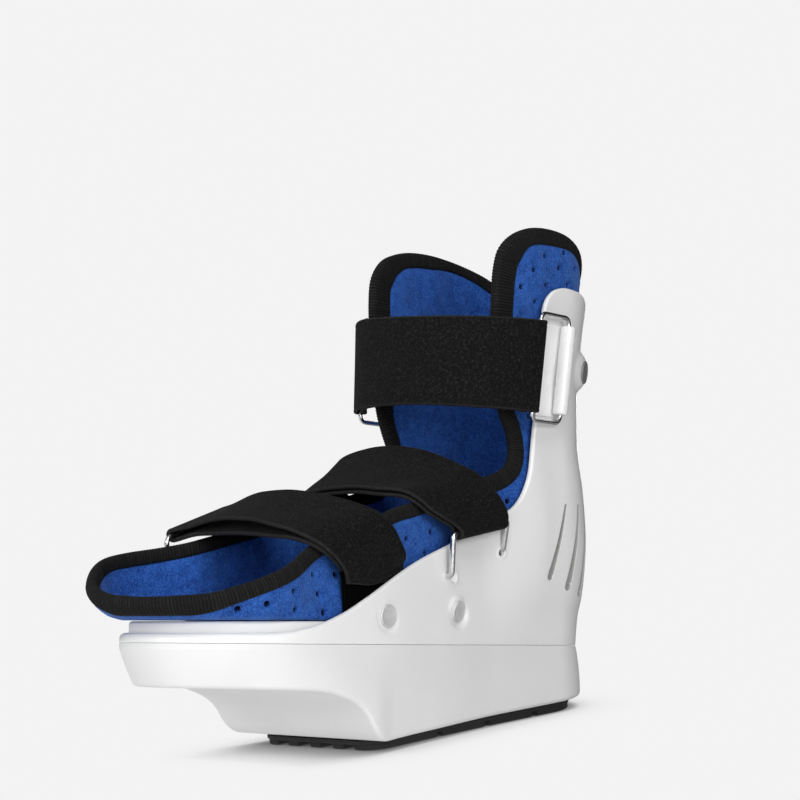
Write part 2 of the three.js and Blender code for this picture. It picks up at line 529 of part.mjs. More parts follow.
// ---------------------------------------------------------------- straps and rings
// A strap's middle surface: its two edges as smooth curves through the table's rows.
function strapSurface(table) {
  const edge = (k) => new THREE.CatmullRomCurve3(table.map((r) => deck(r[k + 1], r[k], r[k + 2])), false, 'centripetal');
  const front = edge(0), rear = edge(3), last = table.length - 1;
  return (row, lift) => {
    const t = clamp(row / last, 0, 1), e = 0.004, a = front.getPoint(t), b = rear.getPoint(t);
    const mid = (u) => front.getPoint(u).add(rear.getPoint(u)).multiplyScalar(0.5);
    const forward = mid(Math.min(1, t + e)).sub(mid(Math.max(0, t - e))).normalize();
    const out = forward.clone().cross(b.clone().sub(a)).normalize();
    return { a: a.addScaledVector(out, lift), b: b.addScaledVector(out, lift), out, forward };
  };
}
// One layer of strap through a list of stations {a, b, out}.
function strapRun(stations) {
  const half = STRAP_THICK / 2;
  return run(stations.map(({ a, b, out }) => [
    a.clone().addScaledVector(out, -half), b.clone().addScaledVector(out, -half),
    b.clone().addScaledVector(out, half), a.clone().addScaledVector(out, half),
  ]), false);
}
const layerLift = (STRAP_THICK + STRAP_PLAY) / 2;
const barLift = WIRE / 2 + STRAP_PLAY + STRAP_THICK / 2;
// Half a turn round a bar that lies along the table's first or last row.
function fold(surface, row, sign, flip) {
  const s = surface(row, 0), stations = [];
  for (let k = 0; k <= 8; k++) {
    const angle = Math.PI * k / 8, out = s.out.clone().multiplyScalar(-Math.cos(angle)).addScaledVector(s.forward, sign * Math.sin(angle));
    stations.push({ a: s.a.clone().addScaledVector(out, barLift), b: s.b.clone().addScaledVector(out, barLift), out });
  }
  if (flip) stations.reverse();
  return stations;
}
// Stations of one layer between two rows; the layers part near each bar in `bars`.
function layer(surface, from, to, side, bars, steps) {
  const stations = [];
  for (let k = 0; k <= steps; k++) {
    const row = lerp(from, to, k / steps);
    let part = 0;
    for (const bar of bars) part = Math.max(part, 1 - smooth(0, 1.1, Math.abs(row - bar)));
    const s = surface(row, side * lerp(layerLift, barLift, part));
    stations.push({ a: s.a, b: s.b, out: s.out.clone().multiplyScalar(side) });
  }
  return stations;
}
function makeForefootStrap() {
  const surface = strapSurface(FOREFOOT), last = FOREFOOT.length - 1;
  const under = layer(surface, 0, last - 0.02, -1, [last], 20);
  // The first rows lie alone between shell and liner, so they keep to the middle surface.
  under.forEach((st, k) => {
    const row = (last - 0.02) * k / 20, ease = 1 - smooth(1, 2, row);
    // In mid-span it hangs a little below the layer above.
    const sag = FOREFOOT_SAG * smooth(6, 9, row) * (1 - smooth(10, last - 0.3, row));
    st.a.addScaledVector(st.out, sag - layerLift * ease);
    st.b.addScaledVector(st.out, sag - layerLift * ease);
  });
  const over = layer(surface, last - 0.02, FREE_END_FOREFOOT, 1, [last], 18);
  return strapRun([...under, ...fold(surface, last, 1, false).slice(1, -1), ...over]);
}
function makeInstepStrap() {
  const surface = strapSurface(INSTEP), last = INSTEP.length - 1;
  const under = layer(surface, last, 0.02, -1, [0], 20);
  under.forEach((st, k) => {
    const row = lerp(last, 0.02, k / 20), ease = smooth(FREE_END_INSTEP, FREE_END_INSTEP + 1.2, row);
    st.a.addScaledVector(st.out, -layerLift * ease);
    st.b.addScaledVector(st.out, -layerLift * ease);
  });
  const over = layer(surface, 0.02, FREE_END_INSTEP, 1, [0], 18);
  return strapRun([...under, ...fold(surface, 0, -1, false).slice(1, -1), ...over]);
}
function makeAnkleStrap() {
  const surface = strapSurface(ANKLE), last = ANKLE.length - 1;
  const under = layer(surface, 0.02, last - 0.02, -1, [0, last], 20);
  const over = layer(surface, last - 0.02, 0.16, 1, [0, last], 20);
  const start = fold(surface, 0, -1, true).slice(1, -1);
  return strapRun([...start, ...under, ...fold(surface, last, 1, false).slice(1, -1), ...over]);
}

// A wire ring through four corners, with rounded corners.
function makeRing(corners, radius = 4.5, sides = 6) {
  const points = corners.map(([q, p, h]) => deck(p, q, h)), path = [], n = points.length;
  for (let i = 0; i < n; i++) {
    const c = points[i], a = points[(i + n - 1) % n].clone().sub(c).normalize(), b = points[(i + 1) % n].clone().sub(c).normalize();
    for (let k = 0; k <= 4; k++) {
      const t = k / 4;
      path.push(c.clone().addScaledVector(a, radius * (1 - t) * (1 - t)).addScaledVector(b, radius * t * t));
    }
  }
  // Carry one square frame along the wire, and spread what is left of its twist at the close.
  const tangent = path.map((c, i) => path[(i + 1) % path.length].clone().sub(path[(i + path.length - 1) % path.length]).normalize());
  const frames = [new THREE.Vector3(1, 0, 0).cross(tangent[0]).normalize()];
  const carry = (v, a, b) => v.clone().applyQuaternion(new THREE.Quaternion().setFromUnitVectors(a, b));
  for (let i = 1; i < path.length; i++) frames.push(carry(frames[i - 1], tangent[i - 1], tangent[i]));
  const end = carry(frames[path.length - 1], tangent[path.length - 1], tangent[0]);
  const twist = Math.atan2(end.clone().cross(frames[0]).dot(tangent[0]), end.dot(frames[0]));
  const sections = path.map((c, i) => {
    const out = frames[i].clone().applyAxisAngle(tangent[i], twist * i / path.length), up = tangent[i].clone().cross(out);
    return Array.from({ length: sides }, (_, k) => {
      const angle = 2 * Math.PI * (k + 0.5) / sides;
      return c.clone().addScaledVector(out, Math.cos(angle) * WIRE / 2).addScaledVector(up, Math.sin(angle) * WIRE / 2);
    });
  });
  return run(sections, true);
}
// A white sleeve over a ring's rear bar, with a foot that reaches back to the shell.
function makeSleeve(corners, footFrom, footTo, side) {
  const top = deck(corners[2][1], corners[2][0], corners[2][2]), low = deck(corners[3][1], corners[3][0], corners[3][2]);
  const axis = top.clone().sub(low).normalize(), length = top.distanceTo(low) - 9;
  const middle = top.clone().add(low).multiplyScalar(0.5);
  const turn = new THREE.Quaternion().setFromUnitVectors(new THREE.Vector3(0, 1, 0), axis);
  const place = (g) => g.applyMatrix4(new THREE.Matrix4().compose(middle, turn, new THREE.Vector3(1, 1, 1)));
  const tube = place(bare(new THREE.CylinderGeometry(SLEEVE_OUT / 2, SLEEVE_OUT / 2, length, 16)));
  const bore = place(bare(new THREE.CylinderGeometry(WIRE / 2 + GAP, WIRE / 2 + GAP, length + 4, 12)));
  // The foot follows the shell's outside.
  const sections = [];
  for (let k = 0; k <= 5; k++) {
    const s = lerp(footFrom, footTo, k / 5);
    const at = (h, lift) => { const f = surfaceFrame(side * s, h); return f.o.clone().addScaledVector(f.out, lift); };
    const h0 = middle.z - length / 2 + 4.5, h1 = middle.z + length / 2 - 4.5;
    sections.push([at(h0, 2 * GAP), at(h1, 2 * GAP), at(h1, 2.6), at(h0, 2.6)]);
  }
  const foot = run(sections, false);
  return fromManifold(toManifold(facingOut(mergeVertices(tube, 1e-3))).add(toManifold(foot))
    .subtract(toManifold(facingOut(mergeVertices(bore, 1e-3)))));
}
// A webbing loop that ties the forefoot ring to the right side of the shell.
function makeRingWeb() {
  const [, , c, d] = FOREFOOT_RING;
  const stations = [], on = (t) => deck(lerp(d[1], c[1], t), lerp(d[0], c[0], t), lerp(d[2], c[2], t)), bar = { a: on(0.14), b: on(0.86) };
  const outward = new THREE.Vector3(-1, 0, 0), drop = new THREE.Vector3(0, 0, -1);
  for (let k = 8; k >= 0; k--) {
    const angle = Math.PI * (k / 8), out = outward.clone().multiplyScalar(Math.cos(angle)).addScaledVector(drop, -Math.sin(angle));
    stations.push({ a: bar.a.clone().addScaledVector(out, barLift), b: bar.b.clone().addScaledVector(out, barLift), out });
  }
  stations.reverse();
  // The tail runs down into the space between shell and liner.
  const tail = [], from = stations[0], end = WEB_END.map(([q, p, h]) => deck(p, q, h));
  for (let k = 1; k <= 5; k++) {
    const t = k / 5, inward = smooth(0, 0.8, t);
    const at = (x, y) => new THREE.Vector3(lerp(x.x, y.x, inward), lerp(x.y, y.y, t), lerp(x.z, y.z, t));
    tail.push({ a: at(from.a, end[0]), b: at(from.b, end[1]), out: outward.clone() });
  }
  return strapRun([...tail.reverse(), ...stations]);
}

// ---------------------------------------------------------------- assembly
const shoe = new THREE.Group();
const tipped = new THREE.Group();
const WEDGE = Math.atan(WEDGE_RISE);
tipped.rotation.x = -WEDGE;
tipped.position.z = HEEL_HEIGHT * Math.cos(WEDGE);
shoe.add(tipped);
function piece(group, name, geometry, look) {
  const g = geometry.index ? geometry.toNonIndexed() : geometry;
  g.computeVertexNormals();
  const mesh = new THREE.Mesh(g, new THREE.MeshStandardMaterial(look));
  mesh.name = name;
  group.add(mesh);
}
piece(tipped, 'sole', makeSole(), WHITE_FOAM);
piece(shoe, 'tread', makeTread(), BLACK_RUBBER);
piece(tipped, 'shell', makeShell(), WHITE_PLASTIC);
piece(tipped, 'foot_plate', makePlate(), WHITE_PLASTIC);
piece(tipped, 'liner', makeLiner(), BLUE_FABRIC);
piece(tipped, 'liner_binding', makeBinding(), BLACK_ELASTIC);
piece(tipped, 'forefoot_strap', makeForefootStrap(), BLACK_ELASTIC);
piece(tipped, 'instep_strap', makeInstepStrap(), BLACK_ELASTIC);
piece(tipped, 'ankle_strap', makeAnkleStrap(), BLACK_ELASTIC);
piece(tipped, 'ankle_ring_left', makeRing(ANKLE_RING_LEFT), CHROME);
piece(tipped, 'ankle_ring_right', makeRing(ANKLE_RING_RIGHT), CHROME);
piece(tipped, 'instep_ring', makeRing(INSTEP_RING, 2.4), CHROME);
piece(tipped, 'forefoot_ring', makeRing(FOREFOOT_RING), CHROME);
piece(tipped, 'ring_sleeve_left', makeSleeve(ANKLE_RING_LEFT, 62.5, 71.5, 1), WHITE_PLASTIC);
piece(tipped, 'ring_sleeve_right', makeSleeve(ANKLE_RING_RIGHT, 60, 92, -1), WHITE_PLASTIC);
piece(tipped, 'forefoot_ring_web', makeRingWeb(), BLACK_ELASTIC);
for (const [name, s, h] of RIVETS) for (const [side, sign] of [['left', 1], ['right', -1]]) {
  const r = RIVET_HEAD / 2, lift = name === 'top' ? BOSS_TALL + GAP : GAP;
  piece(tipped, `rivet_${name}_${side}`, onShell(
    [[0, 0], [r, 0], [r, RIVET_TALL * 0.45], [r * 0.72, RIVET_TALL], [0, RIVET_TALL]], sign * s, h, lift, 16), ALUMINIUM);
}
// Stand the shoe on the ground with its box centred over the origin.
shoe.updateMatrixWorld(true);
const box = new THREE.Box3().setFromObject(shoe, true);
shoe.children.forEach((child) => {
  child.position.x -= (box.min.x + box.max.x) / 2;
  child.position.y -= (box.min.y + box.max.y) / 2;
});

export default shoe;
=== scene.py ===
import math

import bmesh
import bpy
import numpy as np
from mathutils import Matrix, Vector
from mathutils.geometry import delaunay_2d_cdt
from mathutils.kdtree import KDTree


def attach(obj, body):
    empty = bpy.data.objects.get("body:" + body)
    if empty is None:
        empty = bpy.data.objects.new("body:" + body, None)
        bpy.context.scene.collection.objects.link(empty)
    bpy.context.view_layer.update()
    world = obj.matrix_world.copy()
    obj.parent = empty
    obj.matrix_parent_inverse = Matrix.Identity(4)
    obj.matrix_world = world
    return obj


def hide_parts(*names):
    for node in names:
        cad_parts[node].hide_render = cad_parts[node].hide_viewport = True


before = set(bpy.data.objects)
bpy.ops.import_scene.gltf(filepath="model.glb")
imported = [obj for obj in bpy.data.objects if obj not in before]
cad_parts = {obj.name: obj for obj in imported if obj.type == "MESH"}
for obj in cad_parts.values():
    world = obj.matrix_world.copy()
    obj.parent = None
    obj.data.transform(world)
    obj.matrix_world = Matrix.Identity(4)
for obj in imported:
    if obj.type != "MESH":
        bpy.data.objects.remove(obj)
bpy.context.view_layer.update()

# A postoperative shoe. Shapes are drawn in the deck frame, in millimetres: p forward from
# the back of the heel, q to the left, h up from the joint of sole and shell. The
# frame is then tipped by the wedge and set on the ground.

# ---------------------------------------------------------------- sizes, mm

LENGTH, HEEL_ROUND, TOE_ROUND = 282.0, 40.0, 70.0
WEDGE = math.atan(0.1)
PLACE = (0.8103446960449219, 133.57984766587649, 30.846152896509665)
PLATE_TOP, PLATE_INSET = 11.2, 4.3
SHELL_WALL, LINER_FOAM = 3.0, 5.0
FOOTBED = 14.5
LINER_GAP_HEEL, LINER_GAP_SIDE = 4.8, 7.0
BINDING_TALL, BINDING_THICK = 8.0, 5.8
STRAP_THICK, STRAP_PLAY, WIRE = 2.0, 0.4, 2.4

DECK_PLAN = [(0, 40), (40, 40), (90, 43), (140, 48), (190, 52), (230, 52), (282, 48)]
HEEL_BULGE = [(0, 0), (14, 1.3), (24, 3.5), (40, 5.5), (55, 6.3), (80, 5), (107, 2.2), (131, 2.2), (160, 5), (190, 9), (225, 12)]
SIDE_LEAN = [(0, 0), (60, -2.5), (90, -2.5), (120, 2), (160, 5), (225, 6)]
TOE_FLARE_LEFT = [(10, -4.5), (14, 0), (20, 3.5), (26, 5), (60, 4)]
TOE_FLARE_RIGHT = [(10, -4.5), (14, 6), (20, 12.5), (26, 15), (36, 14.5), (60, 8)]
SOLE_DRAW = [(0, 0.09), (40, 0.08), (100, -0.06), (150, -0.07), (172, -0.04), (188, 0.05), (205, 0.09), (235, -0.08), (262, -0.34), (282, -0.42)]
SHELL_EDGE = [(0, 98), (10, 100.5), (18, 110), (23, 131), (27, 156), (31, 173), (37, 181), (47, 185.5), (58, 186.6), (66, 186.3), (74, 183.5), (79, 178), (80.6, 168), (80.3, 141), (82.2, 121), (83.8, 110), (85.8, 99.5), (88.6, 89.5), (92.4, 81.2), (97, 74), (102, 69), (109, 65.2), (120, 60.5), (134, 54.5), (150, 48.6), (168, 42.6), (184, 36.4), (199, 29.4), (215, 21.5), (229, 15), (246, 9.5), (262, 6.2), (290, 5.2)]
RIM_LEFT = [(0, 190), (20, 197), (38, 208.5), (52, 214.3), (64, 217), (80, 216.9), (92, 214.6), (102, 209.5), (109, 201.6), (112, 190), (112.5, 178), (112.2, 164), (110.6, 146), (106.4, 127), (101.6, 115.5), (97, 108), (95.2, 101), (96, 95), (99.8, 89.8), (106, 86.2), (115, 83.4), (135, 77.5), (150, 73), (172, 67.5), (183, 64.8), (199, 59.4), (215, 54.5), (231, 49.5), (246, 43.2), (258, 37), (270, 32), (284, 27), (297, 23), (312, 21.4), (326, 21)]
RIM_RIGHT = [(0, 190), (20, 196.5), (38, 208.5), (52, 214), (66, 216), (86, 215.5), (102, 211.5), (113, 206), (120, 196), (122, 180), (121.5, 164), (121, 150), (119.5, 124), (116.5, 111), (114, 102), (115, 93), (121, 86), (131, 80.5), (150, 74), (172, 67.5), (183, 64.8), (199, 60.5), (215, 56.6), (231, 52.6), (246, 49), (260, 46), (272, 43.6), (284, 40.4), (295, 35.8), (304, 30.6), (314, 25.6), (326, 22)]


def smooth(a, b, x):
    t = np.clip((np.asarray(x, float) - a) / (b - a), 0, 1)
    return t * t * (3 - 2 * t)


def lerp(a, b, t):
    return a + (b - a) * t


def curve(table):
    x, y = (np.array([r[k] for r in table], float) for k in (0, 1))
    h = np.diff(x)
    d = np.diff(y) / h
    m = np.zeros(len(x))
    m[0], m[-1] = d[0], d[-1]
    for i in range(1, len(x) - 1):
        if d[i - 1] * d[i] > 0:
            w0, w1 = 2 * h[i] + h[i - 1], h[i] + 2 * h[i - 1]
            m[i] = (w0 + w1) / (w0 / d[i - 1] + w1 / d[i])

    def at(v):
        v = np.asarray(v, float)
        i = np.clip(np.searchsorted(x, v) - 1, 0, len(x) - 2)
        t = np.clip((v - x[i]) / h[i], 0, 1)
        t2, t3 = t * t, t * t * t
        inside = (2 * t3 - 3 * t2 + 1) * y[i] + (t3 - 2 * t2 + t) * h[i] * m[i] + (3 * t2 - 2 * t3) * y[i + 1] + (t3 - t2) * h[i] * m[i + 1]
        return np.where(v < x[0], y[0] + m[0] * (v - x[0]), np.where(v > x[-1], y[-1] + m[-1] * (v - x[-1]), inside))
    return at


deck_plan, heel_bulge, side_lean = curve(DECK_PLAN), curve(HEEL_BULGE), curve(SIDE_LEAN)
flare_left, flare_right, sole_draw = curve(TOE_FLARE_LEFT), curve(TOE_FLARE_RIGHT), curve(SOLE_DRAW)


def half_width(p):
    a = np.clip((HEEL_ROUND - p) / HEEL_ROUND, 0, 1)
    b = np.clip((p - LENGTH + TOE_ROUND) / TOE_ROUND, 0, 1)
    return deck_plan(p) * np.sqrt(1 - a * a) * np.maximum(0, 1 - b ** 2.2) ** (1 / 2.2)


OP = LENGTH * (1 - np.cos(np.pi * np.arange(6001) / 6000)) / 2
OQ = half_width(OP)
OS = np.concatenate([[0], np.cumsum(np.hypot(np.diff(OP), np.diff(OQ)))])
HALF = float(OS[-1])


def along(a):
    return np.interp(a, OS, OP), np.interp(a, OS, OQ)


def outline(s):
    s = (np.asarray(s, float) + HALF) % (2 * HALF) - HALF
    side, a, e = np.where(s < 0, -1.0, 1.0), np.abs(s), 0.5
    p, q = along(a)
    fa = np.where(a + e > HALF, 2 * HALF - a - e, a + e)
    fp, fq = along(fa)
    fq = np.where(a + e > HALF, -fq, fq)
    ba = np.abs(a - e)
    bp, bq = along(ba)
    bq = np.where(a < e, -bq, bq)
    tp, tq = fp - bp, fq - bq
    length = np.hypot(tp, tq)
    return p, q * side, -tq / length, side * tp / length, np.where(side > 0, a - HALF, HALF - a)


def deck(p, q, h):
    p, q, h = np.broadcast_arrays(p, q, h)
    return np.stack([q, -p, h], -1)


def shell_point(s, h, inset=0.0):
    p, q, np_, nq, _ = outline(s)
    out = lerp(side_lean(h), heel_bulge(h), 1 - smooth(55, 105, p)) - inset
    return deck(p + np_ * out, q + nq * out, h)


def liner_point(s, h, inset=0.0):
    p, q, np_, nq, toe = outline(s)
    at_toe = np.where(q > 0, smooth(212, 255, p), smooth(215, 262, p))
    body = lerp(side_lean(h), heel_bulge(h), 1 - smooth(55, 105, p)) - lerp(LINER_GAP_HEEL, LINER_GAP_SIDE, smooth(60, 95, p))
    flare = lerp(flare_left(h), flare_right(h), smooth(-60, 0, toe))
    out = lerp(body, flare, at_toe) - inset
    return deck(p + np_ * out, q + nq * out, h)


def ground(v):
    v = np.asarray(v, float)
    c, s = math.cos(WEDGE), math.sin(WEDGE)
    return np.stack([v[..., 0] + PLACE[0], v[..., 1] * c + v[..., 2] * s + PLACE[1], -v[..., 1] * s + v[..., 2] * c + PLACE[2]], -1) / 1000


def turned(v):
    v = np.asarray(v, float)
    c, s = math.cos(WEDGE), math.sin(WEDGE)
    return np.stack([v[..., 0], v[..., 1] * c + v[..., 2] * s, -v[..., 1] * s + v[..., 2] * c], -1)


# ---------------------------------------------------------------- curves
def spline(points, ghosts=None):
    """A centripetal curve through points; its parameter counts the points."""
    P = np.array(points, float)
    n = len(P)
    before, after = ghosts if ghosts is not None else (2 * P[0] - P[1], 2 * P[-1] - P[-2])
    Q = np.vstack([[before], P, [after]])

    def at(t):
        t = np.clip(np.asarray(t, float), 0, n - 1)
        i = np.minimum(t.astype(int), n - 2)
        w = (t - i)[..., None]
        p0, p1, p2, p3 = Q[i], Q[i + 1], Q[i + 2], Q[i + 3]
        d0, d1, d2 = (np.maximum(np.linalg.norm(b - a, axis=-1, keepdims=True), 1e-6) ** 0.5 for a, b in ((p0, p1), (p1, p2), (p2, p3)))
        t1 = ((p1 - p0) / d0 - (p2 - p0) / (d0 + d1) + (p2 - p1) / d1) * d1
        t2 = ((p2 - p1) / d1 - (p3 - p1) / (d1 + d2) + (p3 - p2) / d2) * d1
        return p1 + t1 * w + (-3 * p1 + 3 * p2 - 2 * t1 - t2) * w ** 2 + (2 * p1 - 2 * p2 + t1 + t2) * w ** 3
    return at


def lengths(P, closed=False):
    step = np.linalg.norm(np.diff(np.vstack([P, P[:1]]) if closed else P, axis=0), axis=1)
    return np.concatenate([[0], np.cumsum(step)])


def even(P, count):
    """count points, evenly spaced, on an open polyline."""
    L = lengths(P)
    want = np.linspace(0, L[-1], count)
    return np.stack([np.interp(want, L, P[:, k]) for k in range(P.shape[1])], 1)


def edge_line(left, right, toe_h, step):
    """The edge in the (s, h) plane from -HALF round the heel to HALF."""
    def half(table):
        rows = [tuple(r) for r in table] + [(HALF, toe_h)]
        at = spline(rows, ((-rows[1][0], rows[1][1]), (2 * HALF - rows[-2][0], rows[-2][1])))
        return at(np.linspace(0, len(rows) - 1, 60 * len(rows)))
    l, r = half(left), half(right)
    r = r[::-1] * [-1, 1]
    line = np.vstack([r[:-1], l])
    line = even(line, int(lengths(line)[-1] / step))
    line[0, 0], line[-1, 0] = -HALF, HALF
    line[0, 1] = line[-1, 1] = toe_h
    return line


def inset_line(line, by):
    d = np.gradient(line, axis=0)
    l = np.hypot(d[:, 0], d[:, 1])
    by = np.broadcast_to(by, len(line))
    out = np.stack([line[:, 0] + by * d[:, 1] / l, line[:, 1] - by * d[:, 0] / l], 1)
    end = (out[0, 1] + out[-1, 1]) / 2
    out[0], out[-1] = (-HALF, end), (HALF, end)
    return out


# ---------------------------------------------------------------- meshes
def inside(poly, pts):
    x, y = pts[:, 0], pts[:, 1]
    c = np.zeros(len(pts), bool)
    for (ax, ay), (bx, by) in zip(poly, np.roll(poly, -1, axis=0)):
        if ay != by:
            c ^= ((ay > y) != (by > y)) & (x < (bx - ax) * (y - ay) / (by - ay) + ax)
    return c


def distance(pts, others):
    kd = KDTree(len(others))
    for i, (x, y) in enumerate(others):
        kd.insert((x, y, 0), i)
    kd.balance()
    return np.array([kd.find((x, y, 0))[2] for x, y in pts]) if len(pts) else np.zeros(0)


def domain(top, foot, spacing, border, extra=None, clear=1.0):
    """Triangles over the strip of the (s, h) plane between a foot line and an edge, joined at the toe."""
    n = int(2 * HALF / border)
    base = np.stack([np.linspace(-HALF, HALF, n + 1), np.full(n + 1, float(foot))], 1)
    k = max(1, int(round((top[0, 1] - foot) / border)))
    up = np.linspace(foot, top[0, 1], k + 1)[1:-1]
    ends = [np.stack([np.full(len(up), x), up], 1) for x in (HALF, -HALF)]
    poly = np.vstack([base, ends[0], top[::-1], ends[1][::-1]])
    xs, ys = np.arange(-HALF, HALF, spacing), np.arange(foot, top[:, 1].max() + spacing, spacing * 0.866)
    X, Y = np.meshgrid(xs, ys)
    X = X + (np.arange(len(ys)) % 2)[:, None] * spacing / 2
    grid = np.stack([X.ravel(), Y.ravel()], 1)
    grid = grid[inside(poly, grid)]
    grid = grid[distance(grid, poly) > 0.6 * min(spacing, border * 1.6)]
    if extra is not None and len(extra):
        extra = extra[inside(poly, extra)]
        extra = extra[distance(extra, poly) > 0.45]
        grid = grid[distance(grid, extra) > clear]
        points = np.vstack([poly, extra, grid])
    else:
        points = np.vstack([poly, grid])
    m = len(poly)
    made = delaunay_2d_cdt([Vector((float(x), float(y))) for x, y in points], [(i, (i + 1) % m) for i in range(m)], [], 0, 1e-5)
    V = np.array([tuple(v) for v in made[0]])
    F = np.array([f for f in made[2] if len(f) == 3])
    F = F[inside(poly, V[F].mean(1))]
    # Join the two ends of the strip.
    left, right = np.nonzero(np.abs(V[:, 0] + HALF) < 1e-3)[0], np.nonzero(np.abs(V[:, 0] - HALF) < 1e-3)[0]
    to = np.arange(len(V))
    for i in left:
        to[i] = right[np.argmin(np.abs(V[right, 1] - V[i, 1]))]
    F = to[F]
    used, F = np.unique(F, return_inverse=True)
    return V[used], F.reshape(-1, 3)


def borders(V, F):
    """Closed border loops of a triangle mesh, with the outward direction at each point in the plane."""
    E = np.vstack([F[:, [0, 1]], F[:, [1, 2]], F[:, [2, 0]]])
    have = {(a, b) for a, b in E.tolist()}
    nxt = {a: b for a, b in have if (b, a) not in have}
    loops = []
    while nxt:
        a = next(iter(nxt))
        loop = [a]
        b = nxt.pop(a)
        while b != a and b in nxt:
            loop.append(b)
            b = nxt.pop(b)
        L = np.array(loop)
        d = V[np.roll(L, -1)] - V[L]
        d[:, 0] = (d[:, 0] + HALF) % (2 * HALF) - HALF
        d = d / np.maximum(np.linalg.norm(d, axis=1, keepdims=True), 1e-9)
        d = d + np.roll(d, 1, axis=0)
        d = d / np.maximum(np.linalg.norm(d, axis=1, keepdims=True), 1e-9)
        loops.append((L, np.stack([d[:, 1], -d[:, 0]], 1)))
    return sorted(loops, key=lambda x: V[x[0], 1].mean())


class Build:
    """Vertices and faces gathered for one piece."""
    def __init__(self):
        self.v, self.f, self.m, self.n = [], [], [], 0

    def points(self, P):
        P = np.asarray(P, float).reshape(-1, 3)
        self.v.append(P)
        self.n += len(P)
        return np.arange(self.n - len(P), self.n)

    def faces(self, F, material=0):
        self.f += [tuple(int(i) for i in f) for f in F]
        self.m += [material] * len(F) if np.isscalar(material) else list(material)

    def bands(self, rows, closed=True, material=0):
        """Quads between index rows of equal length."""
        for a, b in zip(rows[:-1], rows[1:]):
            if closed:
                a2, b2 = np.roll(a, -1), np.roll(b, -1)
                self.faces(np.stack([a, a2, b2, b], 1), material)
            else:
                self.faces(np.stack([a[:-1], a[1:], b[1:], b[:-1]], 1), material)

    def sweep(self, sections, closed=False, material=0):
        """Sections (n, m, 3) of a closed outline, joined, with flat ends unless the run closes."""
        n, m = sections.shape[:2]
        ids = self.points(sections).reshape(n, m)
        rows = list(ids) + ([ids[0]] if closed else [])
        self.bands(rows, True, material)
        if not closed:
            self.faces([tuple(ids[0][::-1])], material)
            self.faces([tuple(ids[-1])], material)
        return ids

    def make(self, name, materials, nodes=(), slot=None, sharp=None, merge=0.0, in_ground=False):
        V = np.vstack(self.v)
        V = V / 1000 if in_ground else ground(V)
        me = bpy.data.meshes.new(name)
        me.from_pydata(V.tolist(), [], self.f)
        for mat in materials:
            me.materials.append(mat)
        me.polygons.foreach_set("material_index", np.array(self.m, np.int32))
        bm = bmesh.new()
        bm.from_mesh(me)
        if merge:
            bmesh.ops.remove_doubles(bm, verts=bm.verts, dist=merge / 1000)
            bmesh.ops.dissolve_degenerate(bm, dist=1e-7, edges=bm.edges)
        bmesh.ops.recalc_face_normals(bm, faces=bm.faces)
        bm.to_mesh(me)
        bm.free()
        me.polygons.foreach_set("use_smooth", np.ones(len(me.polygons), bool))
        if sharp:
            me.set_sharp_from_angle(angle=math.radians(sharp))
        me.update()
        ob = bpy.data.objects.new(name, me)
        bpy.context.scene.collection.objects.link(ob)
        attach(ob, "root")
        if nodes:
            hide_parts(*nodes)
        return ob


def unit(v):
    return v / np.maximum(np.linalg.norm(v, axis=-1, keepdims=True), 1e-9)


def surface_frame(point, s, h):
    """Place, directions along s and up, and the outward normal of a wall at (s, h)."""
    o = point(s, h)
    ds = unit(point(s + 0.5, h) - point(s - 0.5, h))
    dh = unit(point(s, h + 0.5) - point(s, h - 0.5))
    out = unit(np.cross(dh, ds))
    return o, ds, dh, out


# ---------------------------------------------------------------- materials
def material(name, rough, metal=0.0, **sockets):
    m = bpy.data.materials.new(name)
    m.use_nodes = True
    b = m.node_tree.nodes["Principled BSDF"]
    b.inputs["Roughness"].default_value = rough
    b.inputs["Metallic"].default_value = metal
    for key, value in sockets.items():
        b.inputs[key.replace("_", " ")].default_value = value
    return m


def noise(m, scale, detail=3.0, rough=0.55, stretch=None):
    nt = m.node_tree
    n = nt.nodes.new("ShaderNodeTexNoise")
    n.inputs["Scale"].default_value = scale
    n.inputs["Detail"].default_value = detail
    n.inputs["Roughness"].default_value = rough
    c = nt.nodes.new("ShaderNodeTexCoord")
    if stretch:
        t = nt.nodes.new("ShaderNodeMapping")
        t.inputs["Scale"].default_value = stretch
        nt.links.new(c.outputs["Object"], t.inputs["Vector"])
        nt.links.new(t.outputs["Vector"], n.inputs["Vector"])
    else:
        nt.links.new(c.outputs["Object"], n.inputs["Vector"])
    return n.outputs["Fac"]


def ramp(m, fac, stops):
    nt = m.node_tree
    r = nt.nodes.new("ShaderNodeValToRGB")
    while len(r.color_ramp.elements) < len(stops):
        r.color_ramp.elements.new(0.5)
    for e, (at, colour) in zip(r.color_ramp.elements, stops):
        e.position = at
        e.color = (*colour, 1) if len(colour) == 3 else colour
    nt.links.new(fac, r.inputs["Fac"])
    return r.outputs["Color"]


def mixed(m, fac, a, b, kind="MIX", amount=None):
    nt = m.node_tree
    x = nt.nodes.new("ShaderNodeMix")
    x.data_type = "RGBA"
    x.blend_type = kind
    if amount is not None:
        x.inputs["Factor"].default_value = amount
    else:
        nt.links.new(fac, x.inputs["Factor"])
    nt.links.new(a, x.inputs["A"])
    nt.links.new(b, x.inputs["B"])
    return x.outputs["Result"]


def ranged(m, fac, low, high):
    nt = m.node_tree
    r = nt.nodes.new("ShaderNodeMapRange")
    r.inputs["From Min"].default_value, r.inputs["From Max"].default_value = 0.3, 0.7
    r.inputs["To Min"].default_value, r.inputs["To Max"].default_value = low, high
    nt.links.new(fac, r.inputs["Value"])
    return r.outputs["Result"]


def feed(m, socket, value):
    m.node_tree.links.new(value, m.node_tree.nodes["Principled BSDF"].inputs[socket])


